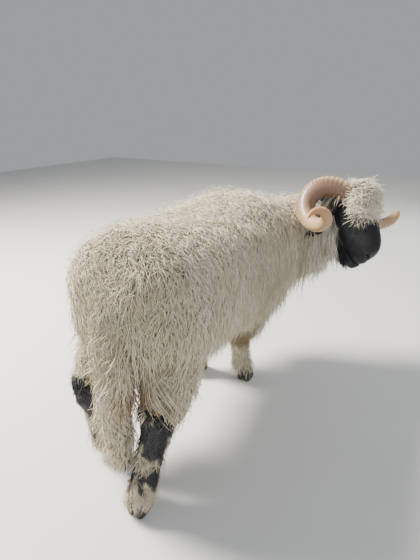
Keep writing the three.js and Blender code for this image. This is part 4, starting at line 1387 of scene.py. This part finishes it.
for name, sign in (("right", -1), ("left", 1)):
    points, triangles = ear_body(sign)
    ear = unwrapped(mesh_object(f"soft_ear_{name}", to_scene(from_poll(points)), triangles))
    whole = np.ones(len(points))
    # The ear's black takes a share near the root: painted shade.
    store(ear, "coat", whole, 0 * whole, 0.5 * whole, 0.4 * whole)
    ear.data.materials.append(fleece)
    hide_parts(f"ear_{name}")
    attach(ear, "root")

    roots, place, normal, number = rooted(whole, 1300, Surface(ear))
    outward = POLL_TURN @ np.array([-0.5, sign * 0.35, -0.75])
    look = {
        "length": 0.010 + 0.008 * dice.random(number),
        "lift": 0.001 + 0.003 * dice.random(number),
        "width": 0.0005,
        "black": 1,
    }
    lie = turned(projected(outward, normal), normal, 0.3 * dice.normal(size=number))
    grow(f"ear_hair_{name}", roots, lie, look, stations=3)

# %% [markdown]
# ## Hooves
# Each foot stands on two claws of dark horn with faint growth rings.

# %% Hooves
claw_paint, nodes, links, shader = material("claw", roughness=0.5)
rings_noise = noise(nodes, links, 120.0, detail=5.0)
claw_colour = mixed(nodes, links, rings_noise, (0.012, 0.010, 0.009), (0.06, 0.045, 0.034))
links.new(claw_colour, shader.inputs["Base Color"])
bumped(nodes, links, shader, rings_noise, 0.4, 0.002)


CLAW_OFFSET = 15
CLAW_HALVES = [(14, 37, 29), (14, 32, 30), (13.5, 24, 26)]


def claw_body(toe, offset, sides=32):
    """A rounded box carried up from the sole to the coronet, with rings of growth."""
    x, y = toe[0], toe[1] + offset
    path = lambda t: through([(x + 7, y, 0), (x + 4, y, 22), (x + 1, y, CLAW_HEIGHT + 8)], t)
    t = np.linspace(0, 1, 26)
    centre, _, side, over = frames(path, t, FORWARD)
    half = through(CLAW_HALVES, t) + 0.35 * np.sin(t * 44)[:, None]
    half = half - np.array([2.0, 2.5, 2.0]) * bell(t, 0.05)[:, None]
    _, wide, tall = rounded_box(sides, square=2.6)
    reach = np.where(tall > 0, half[:, 1:2], half[:, 2:3])
    ring = ringed(centre, side, over, wide * half[:, :1], tall * reach)
    ring[..., 2] = np.maximum(ring[..., 2], 0.0)
    return closed_tube(ring, centre[0], centre[-1])


feet = {f"hind_{side}": leg["toe"] for side, leg in HIND.items()}
feet.update({f"fore_{side}": leg["toe"] for side, leg in FORE.items()})
for foot, toe in feet.items():
    outward = 1 if foot.endswith("left") else -1
    for place_name, offset in (("inner", -CLAW_OFFSET * outward), ("outer", CLAW_OFFSET * outward)):
        points, triangles = claw_body(toe, offset)
        claw = mesh_object(f"hoof_{foot}_{place_name}", to_scene(points), triangles)
        claw.data.materials.append(claw_paint)
        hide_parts(f"{foot}_claw_{place_name}")
        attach(claw, "root")
print("hooves", 2 * len(feet))

# %% [markdown]
# ## Stage, light and camera
# A pale floor, a soft key light high on the left, a weaker fill behind on the
# right, one more in front, and a pale surround. The camera stands about where
# the picture was taken from, with the focal length of a common phone camera.

# %% Stage and camera
def area_light(name, place, aim, size, power, colour):
    """A square light that faces its aim."""
    data = bpy.data.lights.new(name, "AREA")
    data.size = size
    data.energy = power
    data.color = colour
    light = bpy.data.objects.new(name, data)
    light.location = place
    light.rotation_euler = (Vector(aim) - Vector(place)).to_track_quat("-Z", "Y").to_euler()
    bpy.context.scene.collection.objects.link(light)


MIDDLE = (0.0, 0.0, 0.45)
area_light("key", (-0.6, 2.7, 3.2), MIDDLE, 1.1, 640.0, (1.0, 0.95, 0.86))
area_light("fill", (-2.6, -2.8, 1.8), MIDDLE, 3.0, 60.0, (0.86, 0.92, 1.0))
area_light("front", (3.2, -1.6, 2.0), MIDDLE, 2.5, 60.0, (0.95, 0.97, 1.0))

world = bpy.data.worlds.new("surround")
world.use_nodes = True
world.node_tree.nodes["Background"].inputs["Color"].default_value = (0.9, 0.93, 0.97, 1.0)
world.node_tree.nodes["Background"].inputs["Strength"].default_value = 0.42
bpy.context.scene.world = world

bpy.ops.mesh.primitive_plane_add(size=14.0, location=(0, 0, -0.001))
floor = bpy.context.object
floor.name = "floor"
floor_paint, nodes, links, shader = material("floor", roughness=0.9)
floor_tone = mixed(nodes, links, noise(nodes, links, 2.0), (0.66, 0.66, 0.64), (0.72, 0.72, 0.70))
links.new(floor_tone, shader.inputs["Base Color"])
floor.data.materials.append(floor_paint)

CAMERA_PLACE = (-758, -746, 1100)
CAMERA_TILT, CAMERA_HEADING = math.radians(68), math.radians(-60)
PICTURE_WIDTH, FOCAL_PIXELS = 420, 421
SENSOR_WIDTH = 36.0
camera_data = bpy.data.cameras.new("camera")
camera_data.sensor_fit = "HORIZONTAL"
camera_data.sensor_width = SENSOR_WIDTH
camera_data.lens = SENSOR_WIDTH * FOCAL_PIXELS / PICTURE_WIDTH
camera = bpy.data.objects.new("camera", camera_data)
camera.location = to_scene(CAMERA_PLACE)
camera.rotation_euler = (CAMERA_TILT, 0.0, CAMERA_HEADING)
bpy.context.scene.collection.objects.link(camera)
bpy.context.scene.camera = camera
